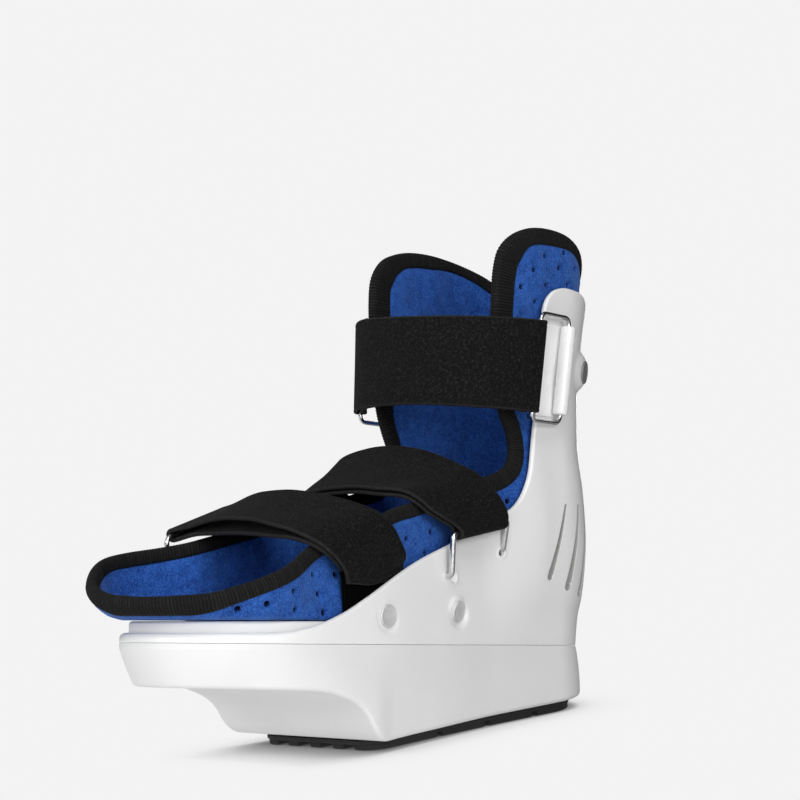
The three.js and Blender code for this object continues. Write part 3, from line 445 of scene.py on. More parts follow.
def bump(m, *layers):
    """layers: (height, strength, distance in metres), chained."""
    nt, last = m.node_tree, None
    for height, strength, far in layers:
        b = nt.nodes.new("ShaderNodeBump")
        b.inputs["Strength"].default_value = strength
        b.inputs["Distance"].default_value = far
        nt.links.new(height, b.inputs["Height"])
        if last is not None:
            nt.links.new(last, b.inputs["Normal"])
        last = b.outputs["Normal"]
    feed(m, "Normal", last)


def plastic(name, light, dark, rough, grain, **sockets):
    m = material(name, rough, **sockets)
    feed(m, "Base Color", ramp(m, noise(m, 26, 4), [(0.3, dark), (0.7, light)]))
    feed(m, "Roughness", ranged(m, noise(m, 90, 5), rough - 0.05, rough + 0.06))
    bump(m, (noise(m, 420, 2), grain, 0.0002), (noise(m, 1900, 2), grain * 0.7, 0.00008))
    return m


SHELL_MAT = plastic("shell_plastic", (0.845, 0.845, 0.842), (0.815, 0.815, 0.814), 0.36, 0.05, Coat_Weight=0.12, Coat_Roughness=0.25)
SOLE_MAT = plastic("sole_foam", (0.79, 0.79, 0.79), (0.755, 0.755, 0.757), 0.5, 0.12)
PLATE_MAT = plastic("plate_plastic", (0.80, 0.80, 0.80), (0.77, 0.77, 0.775), 0.45, 0.08)
# a little whiter than the shell's plastic: painted light, as the tube stands brighter; its gloss and coat are its own
SLEEVE_MAT = plastic("sleeve_plastic", (0.90, 0.90, 0.90), (0.87, 0.87, 0.875), 0.24, 0.03, Coat_Weight=0.25, Coat_Roughness=0.15)
RUBBER_MAT = plastic("tread_rubber", (0.010, 0.010, 0.0105), (0.005, 0.005, 0.0055), 0.72, 0.3)
# dark grey laid into the grooves, floor and walls alike: painted shade in the recesses
GROOVE_SHADE_MAT = plastic("shell_groove_painted_shade", (0.34, 0.34, 0.335), (0.26, 0.26, 0.257), 0.6, 0.1)

BLUE_MAT = material("liner_fabric", 0.92, Sheen_Weight=0.28, Sheen_Roughness=0.45, Sheen_Tint=(0.35, 0.55, 1.0, 1.0), Specular_IOR_Level=0.15)
_fine = noise(BLUE_MAT, 1100, 4, 0.7)
_nap = noise(BLUE_MAT, 170, 4, 0.6)
feed(BLUE_MAT, "Base Color", mixed(BLUE_MAT, None,
     ramp(BLUE_MAT, _fine, [(0.39, (0.005, 0.030, 0.16)), (0.5, (0.017, 0.080, 0.35)), (0.62, (0.055, 0.18, 0.58))]),
     ramp(BLUE_MAT, _nap, [(0.36, (0.009, 0.048, 0.23)), (0.64, (0.028, 0.115, 0.45))]), amount=0.5))
bump(BLUE_MAT, (_nap, 0.35, 0.0009), (_fine, 0.6, 0.0005))
# near-black navy on the floor of each hole: painted shade inside the holes
HOLE_SHADE_MAT = material("hole_painted_shade", 0.95, Specular_IOR_Level=0.1)
feed(HOLE_SHADE_MAT, "Base Color", ramp(HOLE_SHADE_MAT, noise(HOLE_SHADE_MAT, 1500, 3), [(0.3, (0.0008, 0.002, 0.010)), (0.7, (0.0016, 0.005, 0.022))]))


def black_cloth(name, dark, light, fine, depth, spots=3.0, shine=0.16):
    m = material(name, 0.9, Sheen_Weight=0.125 * shine, Sheen_Roughness=0.4, Specular_IOR_Level=shine)
    a, b = noise(m, fine, 4, 0.7), noise(m, fine * 0.23, 3, 0.6)
    feed(m, "Base Color", mixed(m, None, ramp(m, a, [(0.41, (dark,) * 3), (0.53, ((dark + light) / 2,) * 3), (0.64, (light * spots,) * 3)]),
         ramp(m, b, [(0.3, (dark,) * 3), (0.7, (light,) * 3)]), amount=0.35))
    feed(m, "Roughness", ranged(m, b, 0.82, 0.97))
    bump(m, (b, 0.25, 0.0006), (a, depth, 0.0004))
    return m


STRAP_MAT = black_cloth("strap_elastic", 0.0011, 0.0084, 880, 0.9, 3.0, 0.145)
TAPE_MAT = black_cloth("strap_tape", 0.0010, 0.0026, 2200, 0.2, 1.2, 0.02)
BINDING_MAT = black_cloth("binding_fabric", 0.003, 0.009, 1700, 0.35, 1.3)
# lighter black on the rib crests: painted highlight
RIB_HIGHLIGHT_MAT = black_cloth("binding_rib_painted_highlight", 0.007, 0.020, 1700, 0.35, 1.4)
# lighter black for the stitches and the overlocked cut end, and as a painted highlight on the strap edges
THREAD_AND_EDGE_HIGHLIGHT_MAT = black_cloth("strap_thread_and_edge_highlight", 0.006, 0.022, 2600, 0.3)

WIRE_MAT = material("ring_wire", 0.16, 1.0)
feed(WIRE_MAT, "Base Color", ramp(WIRE_MAT, noise(WIRE_MAT, 240, 4), [(0.3, (0.56, 0.56, 0.57)), (0.7, (0.70, 0.70, 0.71))]))
feed(WIRE_MAT, "Roughness", ranged(WIRE_MAT, noise(WIRE_MAT, 420, 5), 0.11, 0.26))
bump(WIRE_MAT, (noise(WIRE_MAT, 700, 3), 0.05, 0.0001))
RIVET_MAT = material("rivet_metal", 0.45, 0.25)
feed(RIVET_MAT, "Base Color", ramp(RIVET_MAT, noise(RIVET_MAT, 300, 4), [(0.3, (0.60, 0.60, 0.60)), (0.7, (0.69, 0.69, 0.69))]))
feed(RIVET_MAT, "Roughness", ranged(RIVET_MAT, noise(RIVET_MAT, 500, 4), 0.38, 0.55))
bump(RIVET_MAT, (noise(RIVET_MAT, 1200, 3), 0.08, 0.0001))
STUD_MAT = material("rivet_dark_metal", 0.5, 0.3)
feed(STUD_MAT, "Base Color", ramp(STUD_MAT, noise(STUD_MAT, 300, 4), [(0.3, (0.20, 0.20, 0.20)), (0.7, (0.26, 0.26, 0.26))]))
feed(STUD_MAT, "Roughness", ranged(STUD_MAT, noise(STUD_MAT, 500, 4), 0.42, 0.6))
bump(STUD_MAT, (noise(STUD_MAT, 1200, 3), 0.08, 0.0001))

# ---------------------------------------------------------------- sole
UNDERSIDE = curve([(-40, -22), (100, -36), (168, -42.8), (176, -43.5), (181, -43.0), (185.5, -40.5), (188.8, -37), (192, -32.5), (196, -28.5),
                   (201.5, -25.2), (209, -22.4), (216, -20.6), (226, -19.5), (312, -17)])


def seam_tilt(p):
    """The joint between sole and shell climbs a little to the toe."""
    return lerp(-1.4, 1.7, np.clip(p, 0, 282) / 282)


def make_sole():
    n = 260
    # Stations close together over the scoop, where the underside drops fast.
    raw = np.linspace(0, HALF, 4000)
    p_raw = outline(raw)[0]
    weight = 1 + 1.6 * np.exp(-((p_raw - 195) / 16) ** 2) + 0.8 * (p_raw > 262) + 0.6 * (p_raw < 16)
    at = np.concatenate([[0], np.cumsum(weight[1:])])
    s = np.interp(np.linspace(0, at[-1], n + 1), at, raw)
    p, q, np_, nq, _ = outline(s)
    q = np.abs(q)
    nq = np.abs(nq)
    draw = sole_draw(p)
    tilt = seam_tilt(p)

    def at_level(h, inset):
        out = -h * draw - inset
        return p + np_ * out, np.maximum(q + nq * out, 0)

    # Foot of the side wall: where it meets the underside.
    foot = np.full(n + 1, -30.0)
    for _ in range(30):
        pp, _q = at_level(foot, 0)
        foot = UNDERSIDE(np.clip(pp, -20, 300))
    round_low = lerp(2.6, 1.8, smooth(205, 235, p))
    rows = []                                        # (p, q, h) from the middle of the top to the middle of the underside
    for back in (1.0, 0.6, 0.25):
        pp, qq = at_level(np.zeros(n + 1) , 8 + 0 * p)
        rows.append((pp, qq * (1 - back), tilt))
    for inset, h in ((2.2, 0.0), (0.5, 0.0), (0.14, -0.05), (0.03, -0.16), (0.0, -0.5)):
        pp, qq = at_level(np.full(n + 1, h), inset)
        rows.append((pp, qq, h + tilt))
    top, low = -0.5 + tilt, foot + round_low
    for t in np.linspace(0, 1, 13)[1:]:
        h = lerp(top, low, t)
        belly = 0.5 * np.sin(np.pi * t)             # the wall is a little full
        pp, qq = at_level(h, -belly)
        rows.append((pp, qq, h))
    for a in np.radians([18, 36, 54, 72, 90]):
        inset, h = round_low * (1 - np.cos(a)), foot + round_low * (1 - np.sin(a))
        pp, qq = at_level(h, inset)
        rows.append((pp, qq, h))
    edge_p, edge_q = rows[-1][0], rows[-1][1]
    for t in (0.12, 0.3, 0.55, 0.8, 1.0):
        h = UNDERSIDE(np.clip(edge_p, -20, 300))
        rows.append((edge_p, edge_q * (1 - t), lerp(rows[-1][2], h, 0.7) if t < 0.5 else h))
    b = Build()
    left = [b.points(deck(pp, qq, hh)) for pp, qq, hh in rows]
    right = [b.points(deck(pp, -qq, hh)) for pp, qq, hh in rows]
    b.bands(left, False)
    b.bands(right, False)
    return b.make("sole_body", [SOLE_MAT], ["sole"], "sole_foam", merge=0.02)


make_sole()

# ---------------------------------------------------------------- tread, on the ground
TREAD_PLAN = curve([(0, 36), (40, 38.5), (90, 37.5), (140, 38.5), (181, 41)])
TREAD_COLUMNS = [(-42, -26.5), (-19, -12), (-3.5, 3.5), (12, 19), (26.5, 42)]
TREAD_ROWS = [(0, 22), (26, 58), (62, 94), (98, 130), (134, 186)]


def tread_half(p, inset):
    back, front, nose = 9 + inset, 181 - inset, 14
    heel = np.clip((44 - p) / (44 - back), 0, 1)
    wide = (TREAD_PLAN(p) - inset) * np.sqrt(np.maximum(0, 1 - heel ** 2))
    n = np.clip((p - front + nose) / nose, 0, 1)
    return np.where((p < back) | (p > front), 0, wide - nose * (1 - np.sqrt(np.maximum(0, 1 - n * n))))


def make_tread():
    b = Build()

    def ring(inset, z):
        t = (1 - np.cos(np.pi * np.linspace(0, 1, 120))) / 2
        p = lerp(9 + inset, 181 - inset, t)
        q = tread_half(p, inset)
        pts = [(x, -y) for x, y in zip(p, q)] + [(x, y) for x, y in zip(p[::-1], q[::-1])]
        P = np.array(pts)
        return b.points(np.stack([P[:, 1] + PLACE[0], -P[:, 0] + PLACE[1], np.full(len(P), z)], 1))
    rows = [ring(0.5, 4.7), ring(0.1, 4.5), ring(0.0, 4.2), ring(0.0, 3.1), ring(0.15, 2.8), ring(0.6, 2.6)]
    b.bands(rows)
    b.faces([tuple(rows[0][::-1]), tuple(rows[-1])])
    # Blocks, with softened lower edges.
    for q0, q1 in TREAD_COLUMNS:
        for p0, p1 in TREAD_ROWS:
            p = np.linspace(p0, p1, 24)
            w = tread_half(p, 0.6)
            lo, hi = np.maximum(q0, -w), np.minimum(q1, w)
            keep = (hi - lo > 2.0)
            if keep.sum() < 4:
                continue
            p, lo, hi = p[keep], lo[keep], hi[keep]

            def loop(inset, z):
                pp = np.clip(p, p[0] + inset, p[-1] - inset)
                a = np.concatenate([pp, pp[::-1]])
                c = np.concatenate([lo + inset, (hi - inset)[::-1]])
                return b.points(np.stack([c + PLACE[0], -a + PLACE[1], np.full(len(a), z)], 1))
            rows = [loop(0, 2.65), loop(0, 0.55), loop(0.12, 0.22), loop(0.5, 0.0)]
            b.bands(rows)
            m = len(p)
            r = rows[-1]
            b.faces([(r[i], r[i + 1], r[2 * m - 2 - i], r[2 * m - 1 - i]) for i in range(m - 1)])
    return b.make("tread_rubber", [RUBBER_MAT], ["tread"], "rubber", sharp=38, merge=0.005, in_ground=True)


make_tread()

# ---------------------------------------------------------------- foot plate
def make_plate():
    b = Build()
    s = np.linspace(-HALF, HALF, 361)[:-1]
    p, q, np_, nq, _ = outline(s)

    def ring(inset, h):
        i = PLATE_INSET + inset
        return b.points(deck(p - np_ * i, q - nq * i, h))
    rows = [ring(10, 4.0), ring(0.6, 4.0), ring(0.15, 4.15), ring(0, 4.5), ring(0, 9.6)]
    for a in np.radians([15, 30, 45, 60, 75, 90]):
        rows.append(ring(1.6 * (1 - math.cos(a)), 9.6 + 1.6 * math.sin(a)))
    rows += [ring(5, 11.2), ring(12, 11.2)]
    b.bands(rows)
    return b.make("foot_plate_body", [PLATE_MAT], ["foot_plate"], "shell_plastic")


make_plate()

# ---------------------------------------------------------------- shell
GROOVES = [((62.6, 71.6), (75.8, 34.4)), ((51.2, 72.2), (60.2, 29.4)), ((40.5, 72.4), (46.6, 26.4))]
GROOVE_DEEP, GROOVE_WIDE = 2.5, 3.8
BOSS = (35.4, 146)
RIVETS = [("fore", 201, 13.7), ("mid", 146.5, 16.1), ("top", 35.4, 146)]
RIVET_LEAN = {"fore": 0.10, "mid": 0.26, "top": 0.0}      # how far each rivet looks down
RIVET_TURN = {"fore": 0.0, "mid": -0.12, "top": 0.22}     # and towards the toe
WIRE_ENDS = [(149.8, 32.7), (110.9, 45.5)]          # left side, where the instep ring goes in


def groove_line(g):
    t = np.linspace(0, 1, 80)
    (s0, h0), (s1, h1) = g
    return np.stack([lerp(s0, s1, t) - 0.3 * np.sin(np.pi * t), lerp(h0, h1, t)], 1), t


def shell_relief(V):
    """How far the shell's outside stands out from its smooth wall at (s, h)."""
    A = np.stack([np.abs(V[:, 0]), V[:, 1]], 1)
    d = np.zeros(len(V))
    for g in GROOVES:
        line, t = groove_line(g)
        near = np.nonzero((np.abs(A[:, 0] - 58) < 26) & (A[:, 1] > 18) & (A[:, 1] < 80))[0]
        gap = np.linalg.norm(A[near][:, None] - line[None], axis=2)
        k = gap.argmin(1)
        half = lerp(GROOVE_WIDE / 6, GROOVE_WIDE / 2, t[k])
        r = gap[np.arange(len(near)), k] / half
        d[near] -= GROOVE_DEEP * np.minimum(1, 0.4 + 2 * t[k]) * (1 - smooth(0.72, 1.08, r))
    r = np.hypot(A[:, 0] - BOSS[0], A[:, 1] - BOSS[1])
    d += 3.4 * (1 - smooth(6.5, 12.5, r))
    tilt = np.clip(RIVET_TURN["top"] * (A[:, 0] - BOSS[0]), -1.6, 1.6)
    d -= (tilt + 0.2) * (1 - smooth(6.8, 11.8, r))          # the boss leans with its rivet
    for (s, h), deep, wide in zip(WIRE_ENDS, (1.7, 2.9), (2.5, 1.5)):
        r = np.hypot(V[:, 0] - s, (V[:, 1] - h))
        d += -deep * (1 - smooth(wide - 0.35, wide + 0.35, r)) + 0.5 * np.exp(-((r - wide - 1.0) / 0.7) ** 2)
    for name, s, h in RIVETS[:2]:
        r = np.hypot(A[:, 0] - s, A[:, 1] - h)
        lean = RIVET_LEAN[name] * (A[:, 1] - h) - RIVET_TURN[name] * (A[:, 0] - s)
        d += (np.clip(lean, -1.8, 1.8) - 0.4) * (1 - smooth(6.0, 8.8, r))
    return d


def rings(centre, radii, gap):
    out = []
    for r in radii:
        n = max(8, int(2 * math.pi * r / gap))
        a = 2 * math.pi * (np.arange(n) + 0.5 * (len(out) % 2)) / n
        out.append(np.stack([centre[0] + r * np.cos(a), centre[1] + r * np.sin(a)], 1))
    return np.vstack(out)


def make_shell():
    edge = edge_line(SHELL_EDGE, SHELL_EDGE, 5.2, 1.6)
    extra = []
    for side in (1, -1):
        for g in GROOVES:
            line, t = groove_line(g)
            d = unit(np.gradient(line, axis=0))
            n = np.stack([d[:, 1], -d[:, 0]], 1)
            half = lerp(GROOVE_WIDE / 6, GROOVE_WIDE / 2, t)[:, None]
            for off in (-1.8, -1.35, -1.06, -0.88, -0.70, -0.35, 0, 0.35, 0.70, 0.88, 1.06, 1.35, 1.8):
                extra.append((line + n * off * half)[::2] * [side, 1])
            extra.append(rings(line[-1], np.array([0.35, 0.70, 0.88, 1.06, 1.3, 1.7]) * half[-1, 0], 0.45) * [side, 1])
            for end, k in ((0, -1),):
                out = d[end] * k
                for off in (0.4, 0.8, 1.2, 1.7):
                    extra.append(((line[end] + out * off * half[end])[None]) * [side, 1])
        extra.append(rings((side * BOSS[0], BOSS[1]), (2, 4, 5.5, 6.6, 7.6, 8.6, 9.6, 10.6, 11.6, 12.6, 14), 1.5))
        for name, s, h in RIVETS[:2]:
            extra.append(rings((side * s, h), (6.3, 6.9, 7.5, 8.2, 9), 1.3))
    for c in WIRE_ENDS:
        extra.append(rings(c, (0.8, 1.45, 1.65, 1.85, 2.05, 2.5, 2.9, 3.4, 4.0, 4.8), 0.75))
    V, F = domain(inset_line(edge, 1.3), 0.9, 2.6, 2.0, np.vstack(extra), 1.1)
    def low(s, h):
        return h + seam_tilt(outline(s)[0]) * (1 - smooth(0.9, 5.0, h))

    o, ds, dh, out = surface_frame(lambda s, h: shell_point(s, low(s, h)), V[:, 0], V[:, 1])
    b = Build()
    relief = shell_relief(V)
    outer = b.points(o + out * relief[:, None])
    pit = np.zeros(len(F), int)
    C = V[F].mean(1)
    # Faces in each groove, its walls too, take the dark grey (index 2): painted shade in the grooves.
    for g in GROOVES:
        line, t = groove_line(g)
        near = np.nonzero((np.abs(np.abs(C[:, 0]) - 58) < 26) & (C[:, 1] > 18) & (C[:, 1] < 80))[0]
        gap = np.linalg.norm(np.abs(C[near])[:, None] - line[None], axis=2)
        k = gap.argmin(1)
        pit[near[gap[np.arange(len(near)), k] < 1.08 * lerp(GROOVE_WIDE / 6, GROOVE_WIDE / 2, t[k])]] = 2
    # the rear wire hole takes the near-black (index 1): painted shade in the hole
    pit[np.hypot(C[:, 0] - WIRE_ENDS[1][0], C[:, 1] - WIRE_ENDS[1][1]) < 1.35] = 1
    b.faces(outer[F], pit.tolist())
    inner_h = V[:, 1] + 2.7 * (1 - smooth(0.9, 9, V[:, 1]))
    inner = b.points(shell_point(V[:, 0], inner_h, SHELL_WALL))
    b.faces(inner[F[:, ::-1]])
    (foot, _), (top, n) = borders(V, F)
    rows = [outer[top]]
    for a in np.radians([15, 32, 52, 72, 90, 108, 128, 148, 165]):
        off, inset = 1.3 * math.sin(a), SHELL_WALL / 2 * (1 - math.cos(a))
        hh = V[top, 1] + n[:, 1] * off
        hh = hh + 2.7 * (1 - smooth(0.9, 9, hh)) * (1 - math.cos(a)) / 2
        rows.append(b.points(shell_point(V[top, 0] + n[:, 0] * off, hh, inset)))
    rows.append(inner[top])
    b.bands(rows)
    rows = [outer[foot]]
    for inset, h in ((0.05, 0.34), (0.2, 0.12), (10, 0.12), (10, 3.0), (3.8, 3.0), (3.15, 3.2)):
        rows.append(b.points(shell_point(V[foot, 0], low(V[foot, 0], np.full(len(foot), h)), inset)))
    rows.append(inner[foot])
    b.bands(rows)
    return b.make("shell_body", [SHELL_MAT, HOLE_SHADE_MAT, GROOVE_SHADE_MAT], ["shell"], "shell_plastic")


make_shell()

# ---------------------------------------------------------------- liner
RIM_TOE = 21.6
HOLES_SEEN = [(176.3, 50.4), (156.6, 54.5), (161.5, 44.1), (99.7, 72.4), (242.7, 32), (227, 32.4), (258.5, 24.2), (238.8, 23.4), (256.1, 16.1),
              (235.4, 15.1), (272.3, 18.2), (285.2, 15.5), (77, 202.2), (61, 206.2), (85.6, 193.6), (64.3, 197.7), (48.9, 199.9), (94.4, 183.5),
              (74.5, 187.3), (55.7, 190), (82.5, 177.3)]
HOLE_R = 1.5


def binding_tall(s, h):
    """Widest up the front of each lobe, narrowest behind it, and low at the toe."""
    a = np.abs(s) * np.where(s < 0, 0.925, 1.0)
    low = lerp(BINDING_TALL, 5.9, smooth(112, 136, a)) + 0.9 * smooth(288, 306, a)
    high = BINDING_TALL - 2.4 + 2.5 * smooth(46, 70, a) + 4.6 * smooth(88, 108, a)
    return np.minimum(lerp(low, high, smooth(112, 150, h)), h - FOOTBED - 0.8)


def perforations(poly, edge):
    """Staggered holes: the ones seen on the left, then the same pattern carried on and mirrored."""
    made = [np.array(c, float) for c in HOLES_SEEN]
    grid = [(-s, h) for s, h in HOLES_SEEN]
    for side in (1, -1):
        for k in range(24):
            for i in range(-2, 34):
                s = 4.5 + 19.4 * i + 9.7 * (k % 2)
                grid.append((side * s, 212 - 9.2 * k - 0.2 * (s - 70)))
    grid = np.array(grid, float)
    grid = grid[(np.abs(grid[:, 0]) < 292) & (grid[:, 1] > 13.8)]
    grid = grid[inside(poly, grid)]
    grid = grid[distance(grid, edge) > 6.0]
    for c in grid:
        if min(np.hypot(*(c - m)) for m in made) > 11.0:
            made.append(c)
    return np.array(made)


def liner_wave(s, h):
    return 0.35 * np.sin(s / 17 + 0.8 * np.sin(h / 23)) * np.sin(h / 14 + 0.7) + 0.22 * np.sin(s / 7.3 + h / 9.1 + 1.3) + 0.15 * np.sin(s / 4.1 - h / 5.2)


def make_liner():
    rim = edge_line(RIM_LEFT, RIM_RIGHT, RIM_TOE, 1.5)
    tall = binding_tall(rim[:, 0], rim[:, 1])
    top = inset_line(rim, np.maximum(tall - 2.2, 2.5))
    foot = 13.7
    base = np.array([(HALF, foot), (-HALF, foot)])
    poly = np.vstack([top, base])
    holes = perforations(poly, inset_line(rim, tall))
    extra = np.vstack([np.vstack([c[None], rings(c, (0.55 * HOLE_R, 0.82 * HOLE_R, HOLE_R, 1.25 * HOLE_R, 1.6 * HOLE_R, 2.1 * HOLE_R, 2.8 * HOLE_R), 0.8)]) for c in holes])
    V, F = domain(top, foot, 2.3, 1.9, extra, 0.9)
    o, ds, dh, out = surface_frame(liner_point, V[:, 0], V[:, 1])
    kd = KDTree(len(holes))
    for i, (x, y) in enumerate(holes):
        kd.insert((x, y, 0), i)
    kd.balance()
    r = np.array([kd.find((x, y, 0))[2] for x, y in V]) / HOLE_R
    pit = -2.1 * (1 - smooth(0.78, 1.08, r)) - 0.75 * np.exp(-(r / 1.45) ** 2) + 0.1 * np.exp(-((r - 2.2) / 0.5) ** 2)
    to_edge = distance(V, top)
    fade = smooth(0, 6, to_edge) * smooth(13.7, 18, V[:, 1])
    pinch = -0.9 * (1 - smooth(0, 7, to_edge))       # the binding squeezes the foam
    b = Build()
    outer = b.points(o + out * (pit + pinch + liner_wave(V[:, 0], V[:, 1]) * fade)[:, None])
    # Faces on the floor of each hole take the near-black: painted shade in the holes.
    c = V[F].mean(1)
    dark = (np.array([kd.find((x, y, 0))[2] for x, y in c]) < 0.93 * HOLE_R).astype(int)
    b.faces(outer[F], dark.tolist())
    # The inside: the same sheet set in by the foam, its foot raised for the rounding into the footbed.
    low_h = np.interp(V[:, 0], top[:, 0], top[:, 1])
    cove = np.clip(0.6 * (low_h - FOOTBED), 0.3, 9)
    lift = (FOOTBED + cove - foot) * (1 - smooth(foot, foot + 3.2 * cove + 2, V[:, 1]))
    level = np.clip(1 - (V[:, 1] - foot) / np.maximum(low_h - foot, 1), 0, 1)
    lift = np.minimum(lift, (FOOTBED + cove - foot) * level)      # none left at the edge
    si, hi = V[:, 0], V[:, 1] + lift
    oi, _, _, outi = surface_frame(lambda s, h: liner_point(s, h, LINER_FOAM), si, hi)
    inner = b.points(oi - outi * (pinch + liner_wave(si * 1.1 + 9, hi) * fade * 1.3)[:, None])
    b.faces(inner[F[:, ::-1]])
    (fl, _), (tl, n) = borders(V, F)
    rows = [outer[tl]]
    for a in np.radians([30, 60, 90, 120, 150]):
        off, inset = 1.0 * math.sin(a), 0.9 + (LINER_FOAM / 2 - 0.9) * (1 - math.cos(a))
        rows.append(b.points(liner_point(V[tl, 0] + n[:, 0] * off, V[tl, 1] + n[:, 1] * off + lift[tl] * (1 - math.cos(a)) / 2, inset)))
    rows.append(inner[tl])
    b.bands(rows)
    s = V[fl, 0]
    rows = [outer[fl]]
    for a in np.radians([20, 40, 60, 80]):
        rows.append(b.points(liner_point(s, 13.7 - 2.1 * np.sin(a), 2.1 * (1 - math.cos(a)))))
    rows.append(b.points(liner_point(s, np.full(len(s), 11.6), 6)))
    p, q, *_ = outline(s)
    spine = deck(np.clip(p, 45, 235), 0 * q, 11.6)
    rows.append(b.points(spine))
    b.bands(rows)
    rows = [inner[fl]]
    r0 = cove[fl]
    for a in np.radians([18, 36, 54, 72, 90]):
        rows.append(b.points(liner_point(s, FOOTBED + r0 * (1 - np.sin(a)), LINER_FOAM + r0 * (1 - np.cos(a)))))
    edge_p = liner_point(s, FOOTBED + 0 * s, LINER_FOAM + r0)
    mid = deck(np.clip(p, 45, 235), 0 * q, FOOTBED)
    for t in (0.06, 0.14, 0.24, 0.36, 0.5, 0.64, 0.78, 0.9, 1.0):
        P = lerp(edge_p, mid, t)
        P[:, 2] += (0.35 * np.sin(P[:, 1] / 15) * np.sin(P[:, 0] / 11 + 0.6) + 0.25 * np.sin(P[:, 1] / 6.1 + P[:, 0] / 8.3)) * math.sin(math.pi * min(t, 0.5)) - 0.8 * (1 - (1 - t) ** 2)
        rows.append(b.points(P))
    b.bands(rows)
    ob = b.make("liner_padding", [BLUE_MAT, HOLE_SHADE_MAT], ["liner"], "liner_fabric", merge=0.01)
    return ob


make_liner()


# ---------------------------------------------------------------- binding
def eased(P, k):
    """A closed run of points, each the mean of its neighbours within k."""
    w = np.hanning(2 * k + 3)[1:-1]
    w = w / w.sum()
    return sum(x * np.roll(P, i - k, axis=0) for i, x in enumerate(w))


def make_binding():
    rim = edge_line(RIM_LEFT, RIM_RIGHT, RIM_TOE, 0.33)[:-1]
    n = len(rim)
    wrap = np.vstack([rim[-30:] - [2 * HALF, 0], rim, rim[:30] + [2 * HALF, 0]])
    tall = binding_tall(wrap[:, 0], wrap[:, 1])
    d = np.gradient(wrap, axis=0)
    d = eased(d, 6)
    l = np.hypot(d[:, 0], d[:, 1])
    foot = np.stack([wrap[:, 0] + tall * d[:, 1] / l, wrap[:, 1] - tall * d[:, 0] / l], 1)[30:-30]
    half = LINER_FOAM / 2
    top, low = eased(liner_point(rim[:, 0], rim[:, 1], half), 8), eased(liner_point(foot[:, 0], foot[:, 1], half), 14)
    c, up = (top + low) / 2, unit(top - low)
    tall3 = np.linalg.norm(top - low, axis=1)
    ahead = unit(eased(np.roll(c, -1, axis=0) - np.roll(c, 1, axis=0), 6))
    out = unit(np.cross(ahead, up))
    L = lengths(c, True)
    ribs = round(L[-1] / 1.5)
    phase = 2 * np.pi * ribs * L[:-1] / L[-1]
    # Outline of the tape: full top, straight sides, lips that turn in to the liner. (out, up, share of ribs)
    T = BINDING_THICK / 2
    prof = []
    for a in np.radians(np.linspace(0, 180, 13)):
        prof.append((T * math.cos(a), "top", math.sin(a), 1 - 0.55 * math.sin(a)))
    prof = [(T * 0.97, -1.0, 0.5, 0.3), (T * 1.02, -0.7, 0, 1.0), (T * 1.04, -0.25, 0, 1.0)] + prof + [(-T * 1.04, -0.25, 0, 1.0), (-T * 1.02, -0.7, 0, 1.0), (-T * 0.97, -1.0, 0.5, 0.3),
            (-T * 0.72, -1.0, -0.35, 0.0), (0, -1.0, 0.6, 0.0), (T * 0.72, -1.0, -0.35, 0.0)]
    cols = []
    ht = tall3 / 2
    crown = np.minimum(3.0, ht)
    for u, v, w, share in prof:
        if v == "top":
            y = ht - crown + crown * w
            nu, nv = u / T, w
        else:
            y = v * ht - 0.5 * (v < -0.9) + w
            nu, nv = math.copysign(1, u) if u else 0.0, 0.0
        rib = 0.24 * share * np.cos(phase)
        cols.append(c + out * (u + nu * rib)[:, None] + up * (y + nv * rib)[:, None])
    b = Build()
    S = np.stack(cols, 1)
    ids = b.points(S).reshape(S.shape[:2])
    # The crest of each rib takes the lighter black: a painted highlight on the ribs.
    crest_highlight = np.cos(phase + math.pi * ribs / len(phase)) > 0.45
    for i in range(len(ids)):
        b.bands([ids[i], ids[(i + 1) % len(ids)]], True, [int(crest_highlight[i])] * S.shape[1])
    ob = b.make("liner_binding_tape", [BINDING_MAT, RIB_HIGHLIGHT_MAT], ["liner_binding"], "binding_fabric")
    return ob


make_binding()

# ---------------------------------------------------------------- straps
FOREFOOT = [  # front q, p, h, rear q, p, h
    (46.8, 202.3, 12.5, 44.3, 161.5, 14), (46.6, 202.3, 16.5, 44, 161.7, 38.5), (48.2, 203.2, 27, 46.6, 163.5, 43), (49.3, 205.5, 32.5, 47.6, 168, 49),
    (50.2, 210.5, 37.6, 47.6, 172.5, 54.8), (49.2, 217.2, 42.6, 45.2, 178.5, 60.2), (44.7, 221.6, 46.5, 38.7, 180.7, 63.2), (36, 223, 49.2, 27, 181.5, 65.8),
    (20, 223.7, 51.6, 6, 183, 68.6), (3, 221.5, 53.8, -10, 184.5, 69.8), (-14, 220.8, 54.8, -25, 185, 69.6), (-34, 222, 54.6, -41, 186.8, 68), (-50, 224.8, 52.4, -53.4, 188.5, 64.8)]
INSTEP = [
    (50.4, 129.3, 53.8, 47.6, 92, 60.8), (49.6, 132, 57, 47.8, 91, 65.2), (48.2, 138.3, 60, 46.8, 92.6, 69.6), (45.9, 144.5, 63.6, 45.4, 95.6, 74.2),
    (42.2, 148.8, 68.3, 42.8, 98.8, 79), (35, 151.6, 72.2, 38.5, 102.5, 83.6), (20, 154.5, 74, 27, 105.6, 89.6), (6, 154, 75.6, 11, 108, 96), (-10, 152.8, 76, -7, 111.4, 99.6),
    (-27, 149, 76, -25, 114.6, 99.2), (-41, 144.5, 75.4, -42, 117.5, 94), (-48.4, 141, 71.5, -48.6, 116, 84), (-46.6, 139.5, 63, -44, 110, 77), (-41.2, 138.3, 51, -37.6, 105.5, 66.5), (-41.8, 137.5, 27, -38.2, 104, 34)]
